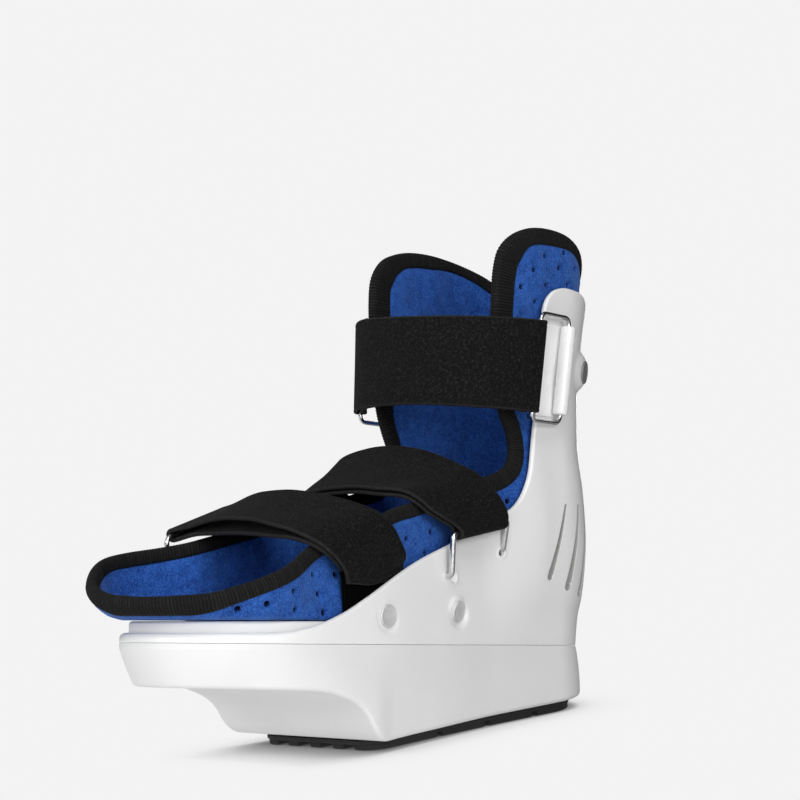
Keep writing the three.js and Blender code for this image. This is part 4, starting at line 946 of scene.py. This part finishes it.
ANKLE = [  # lower q, p, h, upper q, p, h
    (49.4, 71, 117.6, 52.6, 67, 165.5), (47.6, 82, 117.9, 50, 81.5, 165.2), (40.5, 96.5, 118.4, 41.5, 97, 165.2), (27, 109.5, 119.6, 27, 110.5, 165.5), (9, 117, 121, 9, 117.5, 166.5),
    (-11, 117.5, 122, -11, 117.5, 168.3), (-30, 113, 122.6, -30, 112.5, 170), (-44, 103.5, 122.8, -44, 102.5, 170.6), (-50.6, 95.5, 122.8, -50.6, 94, 170.8)]
LAYER, BAR = (STRAP_THICK + STRAP_PLAY) / 2, WIRE / 2 + STRAP_PLAY + STRAP_THICK / 2


class Strap:
    def __init__(self, table, half=0.95, camber=0.0):
        self.front = spline([(r[0], -r[1], r[2]) for r in table])
        self.rear = spline([(r[3], -r[4], r[5]) for r in table])
        self.last = len(table) - 1
        self.half, self.camber = half, camber
        self.wide = float(np.mean([np.linalg.norm(self.front(np.array(t)) - self.rear(np.array(t))) for t in np.linspace(0, self.last, 30)]))
        x = np.array([0, 0.1, 0.35, 0.8, 1.4, 1.9, 2.2, 2.5, 3.0, 3.8, 6.0, 9.0, 12.5, 16.5])
        t = np.concatenate([x / self.wide, [0.5], 1 - x[::-1] / self.wide])
        self.t = t
        near = np.minimum(t, 1 - t) * self.wide
        edge = np.sqrt(np.clip(1 - (1 - np.minimum(near / 0.8, 1)) ** 2, 0, 1))
        self.thick = self.half * (0.25 + 0.75 * edge) - 0.16 * np.exp(-((near - 2.2) / 0.32) ** 2) + 0.06 * np.exp(-((near - 1.2) / 0.5) ** 2)
        self.sections, self.path = [], []

    def place(self, row):
        e = 0.004 * self.last
        mid = lambda r: (self.front(r) + self.rear(r)) / 2
        a, b = self.front(row), self.rear(row)
        forward = unit(mid(np.minimum(row + e, self.last)) - mid(np.maximum(row - e, 0)))
        return a, b, unit(np.cross(forward, b - a)), forward

    def add(self, P, out, thin=1.0):
        """One station: points across the strap and the way its upper side faces there."""
        th = (self.thick * thin)[:, None]
        self.sections.append(np.vstack([P + out * th, (P - out * th)[::-1]]))
        self.path.append(P.mean(0))

    def layer(self, start, end, side, bars, steps, ease=None, ends=(1.0, 1.0), away=None):
        """start and end are rows at the front and the rear edge, or end gives the row across the strap."""
        t = self.t
        stop = end(t) if callable(end) else lerp(end[0], end[1], t)
        ks = np.linspace(0, 1, steps + 1)
        if ends[1] < 1:
            ks = np.concatenate([ks[:-1], 1 - np.array([0.006, 0.003, 0.0012, 0.0])])
        for k in ks:
            row = lerp(lerp(start[0], start[1], t), stop, k)
            a, b, out, _ = self.place(row)
            part = np.zeros(len(t))
            for bar in bars:
                part = np.maximum(part, 1 - smooth(0, 1.1, np.abs(row - bar)))
            lift = lerp(LAYER + 0.25, BAR, part)
            if ease is not None:
                lift = lift - (LAYER + 0.25) * ease(row)
            if away is not None:
                lift = lift + away(row)
            P = lerp(a, b, t[:, None]) + out * (side * lift)[:, None]
            free = np.minimum(1, 3 * np.minimum(row, self.last - row) / self.last) * (1 - part)
            P = P + out * (self.camber * np.sin(np.pi * t) * free)[:, None]
            ripple = 0.16 * np.sin(row * 2.3 + t * 7 + side) + 0.10 * np.sin(row * 5.1 - t * 11)
            P = P + out * (ripple * free * np.sin(np.pi * t))[:, None]
            thin = 1.0
            if ends[1] < 1:
                thin = math.sqrt(max(0.06, 1 - (1 - min(1, (1 - k) / 0.006)) ** 2)) * (1 + 0.35 * float(1 - smooth(0.03, 0.045, 1 - k)))
            self.add(P, out * side, thin)

    def fold(self, row, sign, flip, steps=14):
        a, b, out, forward = self.place(np.array(float(row)))
        P = lerp(a, b, self.t[:, None])
        ks = np.linspace(0, 1, steps + 1)[1:-1]
        for k in (ks[::-1] if flip else ks):
            angle = math.pi * k
            o = out * -math.cos(angle) + forward * sign * math.sin(angle)
            self.add(P + o * BAR, np.broadcast_to(o, P.shape))

    def make(self, name, nodes, stitches=(), plain=0, hem=4):
        """The first `plain` stations are smooth tape; the cut end is overlocked, and the very edges take the lighter
        thread colour as a painted highlight along their rounding.
        """
        b = Build()
        S = np.stack(self.sections)
        n, m = S.shape[:2]
        ids = b.points(S).reshape(n, m)
        near = np.minimum(self.t, 1 - self.t) * self.wide
        near = np.concatenate([near, near[::-1]])
        # faces within 0.9 mm of each edge take the lighter thread colour: a painted highlight along the rounded edges
        edge = np.where(np.maximum(near, np.roll(near, -1)) < 0.9, 1, 0)
        for i in range(n - 1):
            b.bands([ids[i], ids[i + 1]], True, [2] * m if i < plain else [1] * m if i > n - 2 - hem else edge.tolist())
        b.faces([tuple(ids[0][::-1]), tuple(ids[-1])])
        for P, out, along, size in stitches:
            b.sweep(stitch(P, out, along, size), False, 1)
        return b.make(name, [STRAP_MAT, THREAD_AND_EDGE_HIGHLIGHT_MAT, TAPE_MAT], nodes, "strap_elastic")

    def length(self):
        return float(lengths(np.array(self.path))[-1])


def stitch(P, out, along, size):
    """A short thread lying on the cloth."""
    across = np.cross(out, along)
    rows = []
    for x, r in ((-1, 0.05), (-0.9, 0.2), (-0.5, 0.27), (0, 0.28), (0.5, 0.27), (0.9, 0.2), (1, 0.05)):
        c = P + along * x * size / 2 + out * (0.10 - 0.14 * x * x)
        rows.append([c + (across * math.cos(a) + out * math.sin(a)) * r for a in np.arange(6) * math.pi / 3])
    return np.array(rows)


def stitch_line(strap, row_at, side, count, t0=0.06, t1=0.94, lift=LAYER + 0.55):
    """Stitches across the strap along row_at(t)."""
    made = []
    ts = np.linspace(t0, t1, count)
    for t in ts:
        pts = []
        for tt in (t - 0.008, t, t + 0.008):
            a, b, out, _ = strap.place(np.array(float(row_at(tt))))
            pts.append((lerp(a, b, tt) + out * side * (lift + strap.half), out * side))
        made.append((pts[1][0], pts[1][1], unit(pts[2][0] - pts[0][0]), 0.62 * strap.wide * (t1 - t0) / count))
    return made


fore = Strap(FOREFOOT, camber=0.7)
_last = fore.last
# The turned-back end lies outside and stops in a level seam just above the shell; smooth tape goes on below it.
fore_end = lambda t: np.interp(t, [0, 0.25, 0.5, 0.65, 0.8, 1], [2.17, 1.67, 1.12, 0.86, 0.66, 0.5])
fore.layer((0, 0), (_last - 0.02,) * 2, 1, [_last], 110, ease=lambda r: 1 - smooth(1, 2, r),
           away=lambda r: 1.2 * smooth(7, 9.3, r) * (1 - smooth(10.4, _last - 0.3, r)) - 0.3 * smooth(3, 4.5, r) * (1 - smooth(5.5, 7, r)))
fore.fold(_last, 1, True)
fore.layer((_last - 0.02,) * 2, fore_end, -1, [_last], 110, ends=(1, 0),
           away=lambda r: 3.4 * smooth(6, 9, r) * (1 - smooth(10, _last - 0.3, r)) - 1.0 * (1 - smooth(0.8, 1.6, r)))
FORE_SEAM = stitch_line(fore, lambda t: float(fore_end(t)) + 0.34, -1, 17)
fore_ob = fore.make("forefoot_strap_cloth", ["forefoot_strap"], FORE_SEAM, plain=29)

instep = Strap(INSTEP, camber=0.9)
_last = instep.last
instep.layer((_last, _last), (0.02, 0.02), -1, [0], 110, ease=lambda r: smooth(10.9, 12.1, r))
instep.fold(0, -1, False)
instep.layer((0.02, 0.02), (10.9, 10.9), 1, [0], 110, ends=(1, 0))
INSTEP_SEAM = stitch_line(instep, lambda t: 10.62 + 0 * t, 1, 17)
instep_ob = instep.make("instep_strap_cloth", ["instep_strap"], INSTEP_SEAM)

ankle = Strap(ANKLE, camber=0.4)
_last = ankle.last
ankle.fold(0, -1, True)
ankle.layer((0.02, 0.02), (_last - 0.02,) * 2, -1, [0, _last], 110)
ankle.fold(_last, 1, False)
ankle.layer((_last - 0.02,) * 2, (0.16, 0.16), 1, [0, _last], 110, ends=(1, 0))
ANKLE_SEAM = stitch_line(ankle, lambda t: 0.62 + 0 * t, 1, 19, lift=1.9)
ankle_ob = ankle.make("ankle_strap_cloth", ["ankle_strap"])


# ---------------------------------------------------------------- rings
ANKLE_RING_LEFT = [(49.13, 71.33, 113.6), (52.87, 66.67, 169.5), (51.4, 42, 169.6), (46.9, 46.2, 114)]
ANKLE_RING_RIGHT = [(-50.6, 95.6, 118.6), (-50.6, 93.9, 175), (-51.2, 69, 174.4), (-50.2, 71.5, 118.2)]
INSTEP_RING = [(50.6, 132.4, 52.9), (47.4, 88.8, 61.6), (43.4, 87.5, 46.8), (38.6, 86.6, 46.2), (37.5, 99, 42.3), (41, 131.6, 33.4), (49.2, 132.2, 33)]
WEB_END = [(-46.9, 214, 13), (-46.2, 187, 17)]
FOREFOOT_RING = [(-49.6, 228.7, 51.1), (-53.8, 184.6, 66.1), (-54.6, 179.4, 50), (-51.2, 223.4, 35)]


def tube(path, radius, sides=18, closed=True):
    n = len(path)
    tan = unit(np.roll(path, -1, axis=0) - np.roll(path, 1, axis=0))
    up = unit(np.cross(np.array([1.0, 0, 0]) if abs(tan[0][0]) < 0.9 else np.array([0, 1.0, 0]), tan[0]))
    ups = [up]
    for i in range(1, n):
        v = ups[-1] - tan[i] * np.dot(ups[-1], tan[i])
        ups.append(v / np.linalg.norm(v))
    end = ups[-1] - tan[0] * np.dot(ups[-1], tan[0])
    end = end / np.linalg.norm(end)
    twist = math.atan2(np.dot(np.cross(end, ups[0]), tan[0]), np.dot(end, ups[0])) if closed else 0
    rows = []
    for i in range(n):
        a = twist * i / n
        w = np.cross(tan[i], ups[i])
        u = ups[i] * math.cos(a) + w * math.sin(a)
        w = np.cross(tan[i], u)
        rows.append([path[i] + (u * math.cos(x) + w * math.sin(x)) * radius for x in 2 * np.pi * np.arange(sides) / sides])
    return np.array(rows)


def make_ring(name, node, corners, radius=4.5, wire=WIRE):
    C = np.array([(q, -p, h) for q, p, h in corners], float)
    n, path = len(C), []
    for i in range(n):
        c, a, b = C[i], unit(C[i - 1] - C[i]), unit(C[(i + 1) % n] - C[i])
        for t in np.linspace(0, 1, 13):
            path.append(c + a * radius * (1 - t) ** 2 + b * radius * t ** 2)
        nxt = C[(i + 1) % n]
        s, e = c + b * radius, nxt - b * radius
        for t in np.linspace(0, 1, 6)[1:-1]:
            path.append(lerp(s, e, t))
    b = Build()
    b.sweep(tube(np.array(path), wire / 2), True)
    return b.make(name, [WIRE_MAT], [node], "ring_wire")


make_ring("ankle_ring_left_wire", "ankle_ring_left", ANKLE_RING_LEFT)
make_ring("ankle_ring_right_wire", "ankle_ring_right", ANKLE_RING_RIGHT)
make_ring("instep_ring_wire", "instep_ring", INSTEP_RING, 2.4, 2.9)
make_ring("forefoot_ring_wire", "forefoot_ring", FOREFOOT_RING)


# ---------------------------------------------------------------- sleeves
def lathe(b, o, axis, profile, sides=40, material=0):
    side = unit(np.cross(axis, np.array([0.3, 1.0, 0.2])))
    other = np.cross(axis, side)
    rows = []
    for r, z in profile:
        rows.append(b.points([o + axis * z + (side * math.cos(x) + other * math.sin(x)) * max(r, 1e-3) for x in 2 * np.pi * np.arange(sides) / sides]))
    b.bands(rows, True, material)
    return rows


def make_sleeve(name, node, corners, s0, s1, thick, side):
    top, low = (np.array((q, -p, h), float) for q, p, h in (corners[2], corners[3]))
    axis, length, mid = unit(top - low), np.linalg.norm(top - low) - 9, (top + low) / 2
    b, z = Build(), length / 2
    prof = [(1.5, -z + 0.4), (1.75, -z + 0.05), (2.2, -z), (2.9, -z), (3.4, -z + 0.12), (3.75, -z + 0.4), (3.95, -z + 0.9), (4.0, -z + 1.6), (4.0, -z / 2), (4.0, 0)]
    prof = prof + [(r, -h) for r, h in prof[-2::-1]]
    rows = lathe(b, mid, axis, prof + [prof[0]], 44)
    # A flat foot on the shell, low under the ring and thick only behind the tube.
    h0, h1 = mid[2] - length / 2 - 1.0, mid[2] + length / 2 + 1.0
    S = np.concatenate([np.linspace(s0, s0 + 2, 7), np.linspace(s0 + 2.6, s1 - 1, 14), [s1 - 0.5, s1]])
    H = np.concatenate([[h0, h0 + 0.3, h0 + 1], np.linspace(h0 + 4, h1 - 4, 14), [h1 - 1, h1 - 0.3, h1]])
    secs = []
    for s in S:
        near = min(s - s0, s1 - s)
        o, ds, dh, out = surface_frame(shell_point, np.full(len(H), side * s), H)
        rim = np.minimum(np.minimum(H - h0, h1 - H), near)
        tall = 0.45 + lerp(1.7, 0.0, smooth(thick - 1.2, thick, s)) * smooth(0, 5, np.minimum(H - h0, h1 - H))
        lift = 0.45 + tall * np.sqrt(np.clip(1 - (1 - np.minimum(rim / 0.8, 1)) ** 2, 0, 1))
        secs.append(np.vstack([o + out * lift[:, None], (o + out * 0.3)[::-1]]))
    b.sweep(np.stack(secs))
    return b.make(name, [SLEEVE_MAT], [node], "sleeve_plastic", sharp=50)


make_sleeve("ring_sleeve_left_tube", "ring_sleeve_left", ANKLE_RING_LEFT, 62.5, 84.0, 67.0, 1)
make_sleeve("ring_sleeve_right_tube", "ring_sleeve_right", ANKLE_RING_RIGHT, 60, 92, 92, -1)

# ---------------------------------------------------------------- rivets
RIVET_PROFILE = [(0, 1.05), (1.6, 1.06), (3.4, 1.12), (4.3, 1.25), (4.75, 1.42), (5.1, 1.5), (5.4, 1.42), (5.62, 1.2), (5.74, 0.8), (5.75, 0.3), (5.7, -0.2), (4, -0.2), (0, -0.2)]
for _name, _s, _h in RIVETS:
    for _side, _word in ((1, "left"), (-1, "right")):
        _o, _ds, _dh, _out = (x[0] for x in surface_frame(shell_point, np.array([_side * float(_s)]), np.array([float(_h)])))
        _b = Build()
        lathe(_b, _o + _out * (2.7 if _name == "top" else -0.8), unit(_out - _dh * RIVET_LEAN[_name] + _ds * RIVET_TURN[_name] * _side), [((1.1 if _name == "top" else 0.95) * r, z) for r, z in RIVET_PROFILE], 40)
        _b.make(f"rivet_{_name}_{_word}_head", [STUD_MAT if _name == "top" else RIVET_MAT], [f"rivet_{_name}_{_word}"], "rivet_metal", merge=0.01)

# ---------------------------------------------------------------- ring web
def make_web():
    c, d = (np.array((q, -p, h), float) for q, p, h in FOREFOOT_RING[2:])
    a, e = lerp(d, c, 0.14), lerp(d, c, 0.86)
    outward, drop = np.array([-1.0, 0, 0]), np.array([0, 0, -1.0])
    st = Strap([(*(lambda v: (v[0], -v[1], v[2]))(a), *(lambda v: (v[0], -v[1], v[2]))(e))] * 2)
    st.wide = float(np.linalg.norm(a - e))
    x = np.array([0, 0.1, 0.35, 0.8, 1.4, 1.9, 2.2, 2.5, 3.0, 3.8, 6.0, 9.0, 12.0])
    st.t = np.concatenate([x / st.wide, [0.5], 1 - x[::-1] / st.wide])
    near = np.minimum(st.t, 1 - st.t) * st.wide
    edge = np.sqrt(np.clip(1 - (1 - np.minimum(near / 0.8, 1)) ** 2, 0, 1))
    st.thick = st.half * (0.25 + 0.75 * edge) - 0.16 * np.exp(-((near - 2.2) / 0.32) ** 2)
    P = lerp(a, e, st.t[:, None])
    start = P + outward * BAR
    low = lerp(*(np.array((q, -p, h), float) for q, p, h in WEB_END), st.t[:, None])
    run = [np.stack([lerp(start[:, 0], low[:, 0], smooth(0, 0.8, k)), lerp(start[:, 1], low[:, 1], k), lerp(start[:, 2], low[:, 2], k)], 1) for k in np.linspace(1, 0, 25)]
    for i, at in enumerate(run[:-1]):
        ahead = unit(run[i + 1] - run[max(i - 1, 0)])
        o = unit(np.cross(ahead, unit(P[-1] - P[0])))
        st.add(at, o * np.sign(o @ outward)[:, None])
    for k in np.linspace(0, 1, 17):
        angle = math.pi * k
        o = outward * math.cos(angle) - drop * math.sin(angle)
        st.add(P + o * BAR, np.broadcast_to(o, P.shape))
    return st.make("forefoot_ring_web_cloth", ["forefoot_ring_web"], hem=0)


web_ob = make_web()

# ---------------------------------------------------------------- camera
YAW, PITCH, EYE = math.radians(1.00927), math.radians(7.1623), (636.396, -776.396, 9.0)
_f0, _r0, _u0 = np.array([-1, 1, 0]) / math.sqrt(2), np.array([1, 1, 0]) / math.sqrt(2), np.array([0, 0, 1.0])
_f, _r = _f0 * math.cos(YAW) + _r0 * math.sin(YAW), -_f0 * math.sin(YAW) + _r0 * math.cos(YAW)
_f, _u = _f * math.cos(PITCH) + _u0 * math.sin(PITCH), -_f * math.sin(PITCH) + _u0 * math.cos(PITCH)
R_AXIS, U_AXIS, F_AXIS = (turned(v) for v in (_r, _u, _f))
cam_data = bpy.data.cameras.new("camera")
cam_data.lens, cam_data.sensor_width, cam_data.sensor_fit = 81.0, 36.0, "AUTO"
cam_data.clip_start, cam_data.clip_end = 0.01, 50
cam_data.dof.use_dof = False
cam = bpy.data.objects.new("camera", cam_data)
bpy.context.scene.collection.objects.link(cam)
cam.matrix_world = Matrix([[R_AXIS[i], U_AXIS[i], -F_AXIS[i], ground(np.array(EYE))[i]] for i in range(3)] + [[0, 0, 0, 1]])
bpy.context.scene.camera = cam

# ---------------------------------------------------------------- floor, world and lamps
PALE = 0.896
FLOOR = 0.74
BOUNCE = (0.95, 0.15)
_flat_f = unit(np.array([F_AXIS[0], F_AXIS[1], 0]))
_flat_r = unit(np.array([R_AXIS[0], R_AXIS[1], 0]))
_up = np.array([0, 0, 1.0])
SHADE_SIDE = unit(_flat_r * 0.8 + _flat_f * 0.6)


def make_floor():
    me = bpy.data.meshes.new("floor")
    n, rows, faces = 96, [], []
    v = [(0, 0, -0.0003)]
    for r in (0.1, 0.2, 0.3, 0.45, 0.7, 1.2, 3.0):
        v += [(r * math.cos(a), r * math.sin(a), -0.0003) for a in 2 * np.pi * np.arange(n) / n]
    faces += [(0, 1 + i, 1 + (i + 1) % n) for i in range(n)]
    for k in range(6):
        a, b = 1 + k * n, 1 + (k + 1) * n
        faces += [(a + i, b + i, b + (i + 1) % n, a + (i + 1) % n) for i in range(n)]
    me.from_pydata(v, [], faces)
    m = bpy.data.materials.new("floor")
    m.use_nodes = True
    nt = m.node_tree
    nt.nodes.clear()
    node, link = nt.nodes.new, nt.links.new
    out, lit, both = node("ShaderNodeOutputMaterial"), node("ShaderNodeMixShader"), node("ShaderNodeMixShader")
    dif, emi, glow = node("ShaderNodeBsdfDiffuse"), node("ShaderNodeEmission"), node("ShaderNodeEmission")
    dif.inputs["Color"].default_value = (FLOOR, FLOOR, FLOOR, 1)
    # as the camera sees it the floor is an emission, pale but darkened near contact by ambient occlusion: a painted
    # contact shadow
    coord, shut, near = node("ShaderNodeTexCoord"), node("ShaderNodeAmbientOcclusion"), node("ShaderNodeValToRGB")
    shut.samples, shut.inputs["Distance"].default_value = 16, 0.036
    e = near.color_ramp.elements
    e[0].position, e[0].color = 0.0, (0.05, 0.05, 0.05, 1)
    e[1].position, e[1].color = 1.0, (PALE, PALE, PALE, 1)
    for at, c in ((0.25, 0.30), (0.5, 0.68), (0.75, 0.86)):
        e.new(at).color = (c, c, c, 1)
    link(shut.outputs["AO"], near.inputs["Fac"])
    link(near.outputs["Color"], emi.inputs["Color"])
    # for all but camera rays the floor mostly glows: painted bounce light that falls off away from the lamps, with
    # painted shade where it dims a little under the shoe
    along, dim = node("ShaderNodeVectorMath"), node("ShaderNodeMapRange")
    along.operation = "DOT_PRODUCT"
    along.inputs[1].default_value = tuple(SHADE_SIDE)
    dim.interpolation_type = "SMOOTHSTEP"
    dim.inputs["From Min"].default_value, dim.inputs["From Max"].default_value = -0.16, 0.22
    dim.inputs["To Min"].default_value, dim.inputs["To Max"].default_value = BOUNCE
    link(coord.outputs["Object"], along.inputs[0])
    link(along.outputs["Value"], dim.inputs["Value"])
    oval, reach, under, less = node("ShaderNodeVectorMath"), node("ShaderNodeVectorMath"), node("ShaderNodeMapRange"), node("ShaderNodeMath")
    oval.operation, reach.operation, less.operation = "MULTIPLY", "LENGTH", "MULTIPLY"
    oval.inputs[1].default_value = (1 / 0.062, 1 / 0.165, 1)
    under.interpolation_type = "SMOOTHSTEP"
    under.inputs["From Min"].default_value, under.inputs["From Max"].default_value = 0.55, 1.35
    under.inputs["To Min"].default_value, under.inputs["To Max"].default_value = 0.95, 1.01
    link(coord.outputs["Object"], oval.inputs[0])
    link(oval.outputs["Vector"], reach.inputs[0])
    link(reach.outputs["Value"], under.inputs["Value"])
    link(dim.outputs["Result"], less.inputs[0])
    link(under.outputs["Result"], less.inputs[1])
    link(less.outputs["Value"], glow.inputs["Strength"])
    lit.inputs["Fac"].default_value = 0.7
    link(dif.outputs[0], lit.inputs[1])
    link(glow.outputs[0], lit.inputs[2])
    path = node("ShaderNodeLightPath")
    link(path.outputs["Is Camera Ray"], both.inputs["Fac"])
    link(lit.outputs[0], both.inputs[1])
    link(emi.outputs[0], both.inputs[2])
    link(both.outputs[0], out.inputs["Surface"])
    me.materials.append(m)
    ob = bpy.data.objects.new("floor", me)
    bpy.context.scene.collection.objects.link(ob)


make_floor()

world = bpy.data.worlds.new("studio")
bpy.context.scene.world = world
world.use_nodes = True
nt = world.node_tree
nt.nodes.clear()
w_out = nt.nodes.new("ShaderNodeOutputWorld")
w_mix, w_path = nt.nodes.new("ShaderNodeMixShader"), nt.nodes.new("ShaderNodeLightPath")
w_see, w_lit = nt.nodes.new("ShaderNodeBackground"), nt.nodes.new("ShaderNodeBackground")
w_see.inputs["Color"].default_value = (PALE, PALE, PALE, 1)
w_coord, w_sep, w_ramp = nt.nodes.new("ShaderNodeTexCoord"), nt.nodes.new("ShaderNodeSeparateXYZ"), nt.nodes.new("ShaderNodeValToRGB")
w_map = nt.nodes.new("ShaderNodeMapRange")
w_map.inputs["From Min"].default_value, w_map.inputs["From Max"].default_value = -1, 1
nt.links.new(w_coord.outputs["Generated"], w_sep.inputs["Vector"])
nt.links.new(w_sep.outputs["Z"], w_map.inputs["Value"])
nt.links.new(w_map.outputs["Result"], w_ramp.inputs["Fac"])
_e = w_ramp.color_ramp.elements
_e[0].position, _e[0].color = 0.0, (0.55, 0.55, 0.55, 1)
_e[1].position, _e[1].color = 1.0, (0.85, 0.85, 0.86, 1)
for _at, _c in ((0.46, 0.40), (0.56, 0.36), (0.72, 0.62)):
    _n = _e.new(_at)
    _n.color = (_c, _c, _c, 1)
nt.links.new(w_ramp.outputs["Color"], w_lit.inputs["Color"])
w_side, w_dim = nt.nodes.new("ShaderNodeVectorMath"), nt.nodes.new("ShaderNodeMapRange")
w_side.operation = "DOT_PRODUCT"
w_side.inputs[1].default_value = tuple(SHADE_SIDE)
w_dim.interpolation_type = "SMOOTHSTEP"
w_dim.inputs["From Min"].default_value, w_dim.inputs["From Max"].default_value = -0.7, 0.7
w_dim.inputs["To Min"].default_value, w_dim.inputs["To Max"].default_value = 0.75, 0.03
nt.links.new(w_coord.outputs["Generated"], w_side.inputs[0])
nt.links.new(w_side.outputs["Value"], w_dim.inputs["Value"])
nt.links.new(w_dim.outputs["Result"], w_lit.inputs["Strength"])
nt.links.new(w_path.outputs["Is Camera Ray"], w_mix.inputs["Fac"])
nt.links.new(w_lit.outputs[0], w_mix.inputs[1])
nt.links.new(w_see.outputs[0], w_mix.inputs[2])
nt.links.new(w_mix.outputs[0], w_out.inputs["Surface"])


def lamp(name, place, size, power, at=(0.0, 0.0, 0.10)):
    data = bpy.data.lights.new(name, "AREA")
    data.shape, data.size, data.size_y, data.energy = "RECTANGLE", size[0], size[1], power
    ob = bpy.data.objects.new(name, data)
    bpy.context.scene.collection.objects.link(ob)
    ob.location = place
    ob.rotation_mode = "QUATERNION"
    ob.rotation_quaternion = (Vector(at) - Vector(place)).to_track_quat("-Z", "Y")


lamp("front_left", tuple(-_flat_f * 1.55 - _flat_r * 0.5 + _up * 0.40), (0.9, 0.7), 2.7)
lamp("front_right", tuple(-_flat_f * 1.4 + _flat_r * 0.65 + _up * 0.45), (0.9, 0.7), 11.0)
lamp("left", tuple(-_flat_f * 0.9 - _flat_r * 1.2 + _up * 0.75), (0.8, 0.8), 6.5)
lamp("top", tuple(-_flat_f * 0.95 + _flat_r * 0.2 + _up * 1.25), (0.55, 0.55), 5.0)
lamp("behind", tuple(_flat_f * 1.5 + _flat_r * 0.25 + _up * 0.35), (0.5, 0.4), 6.0)       # for the side turned away

bpy.context.scene.view_settings.view_transform = "Standard"
bpy.context.scene.view_settings.look = "None"
bpy.context.scene.view_settings.exposure = 0.0
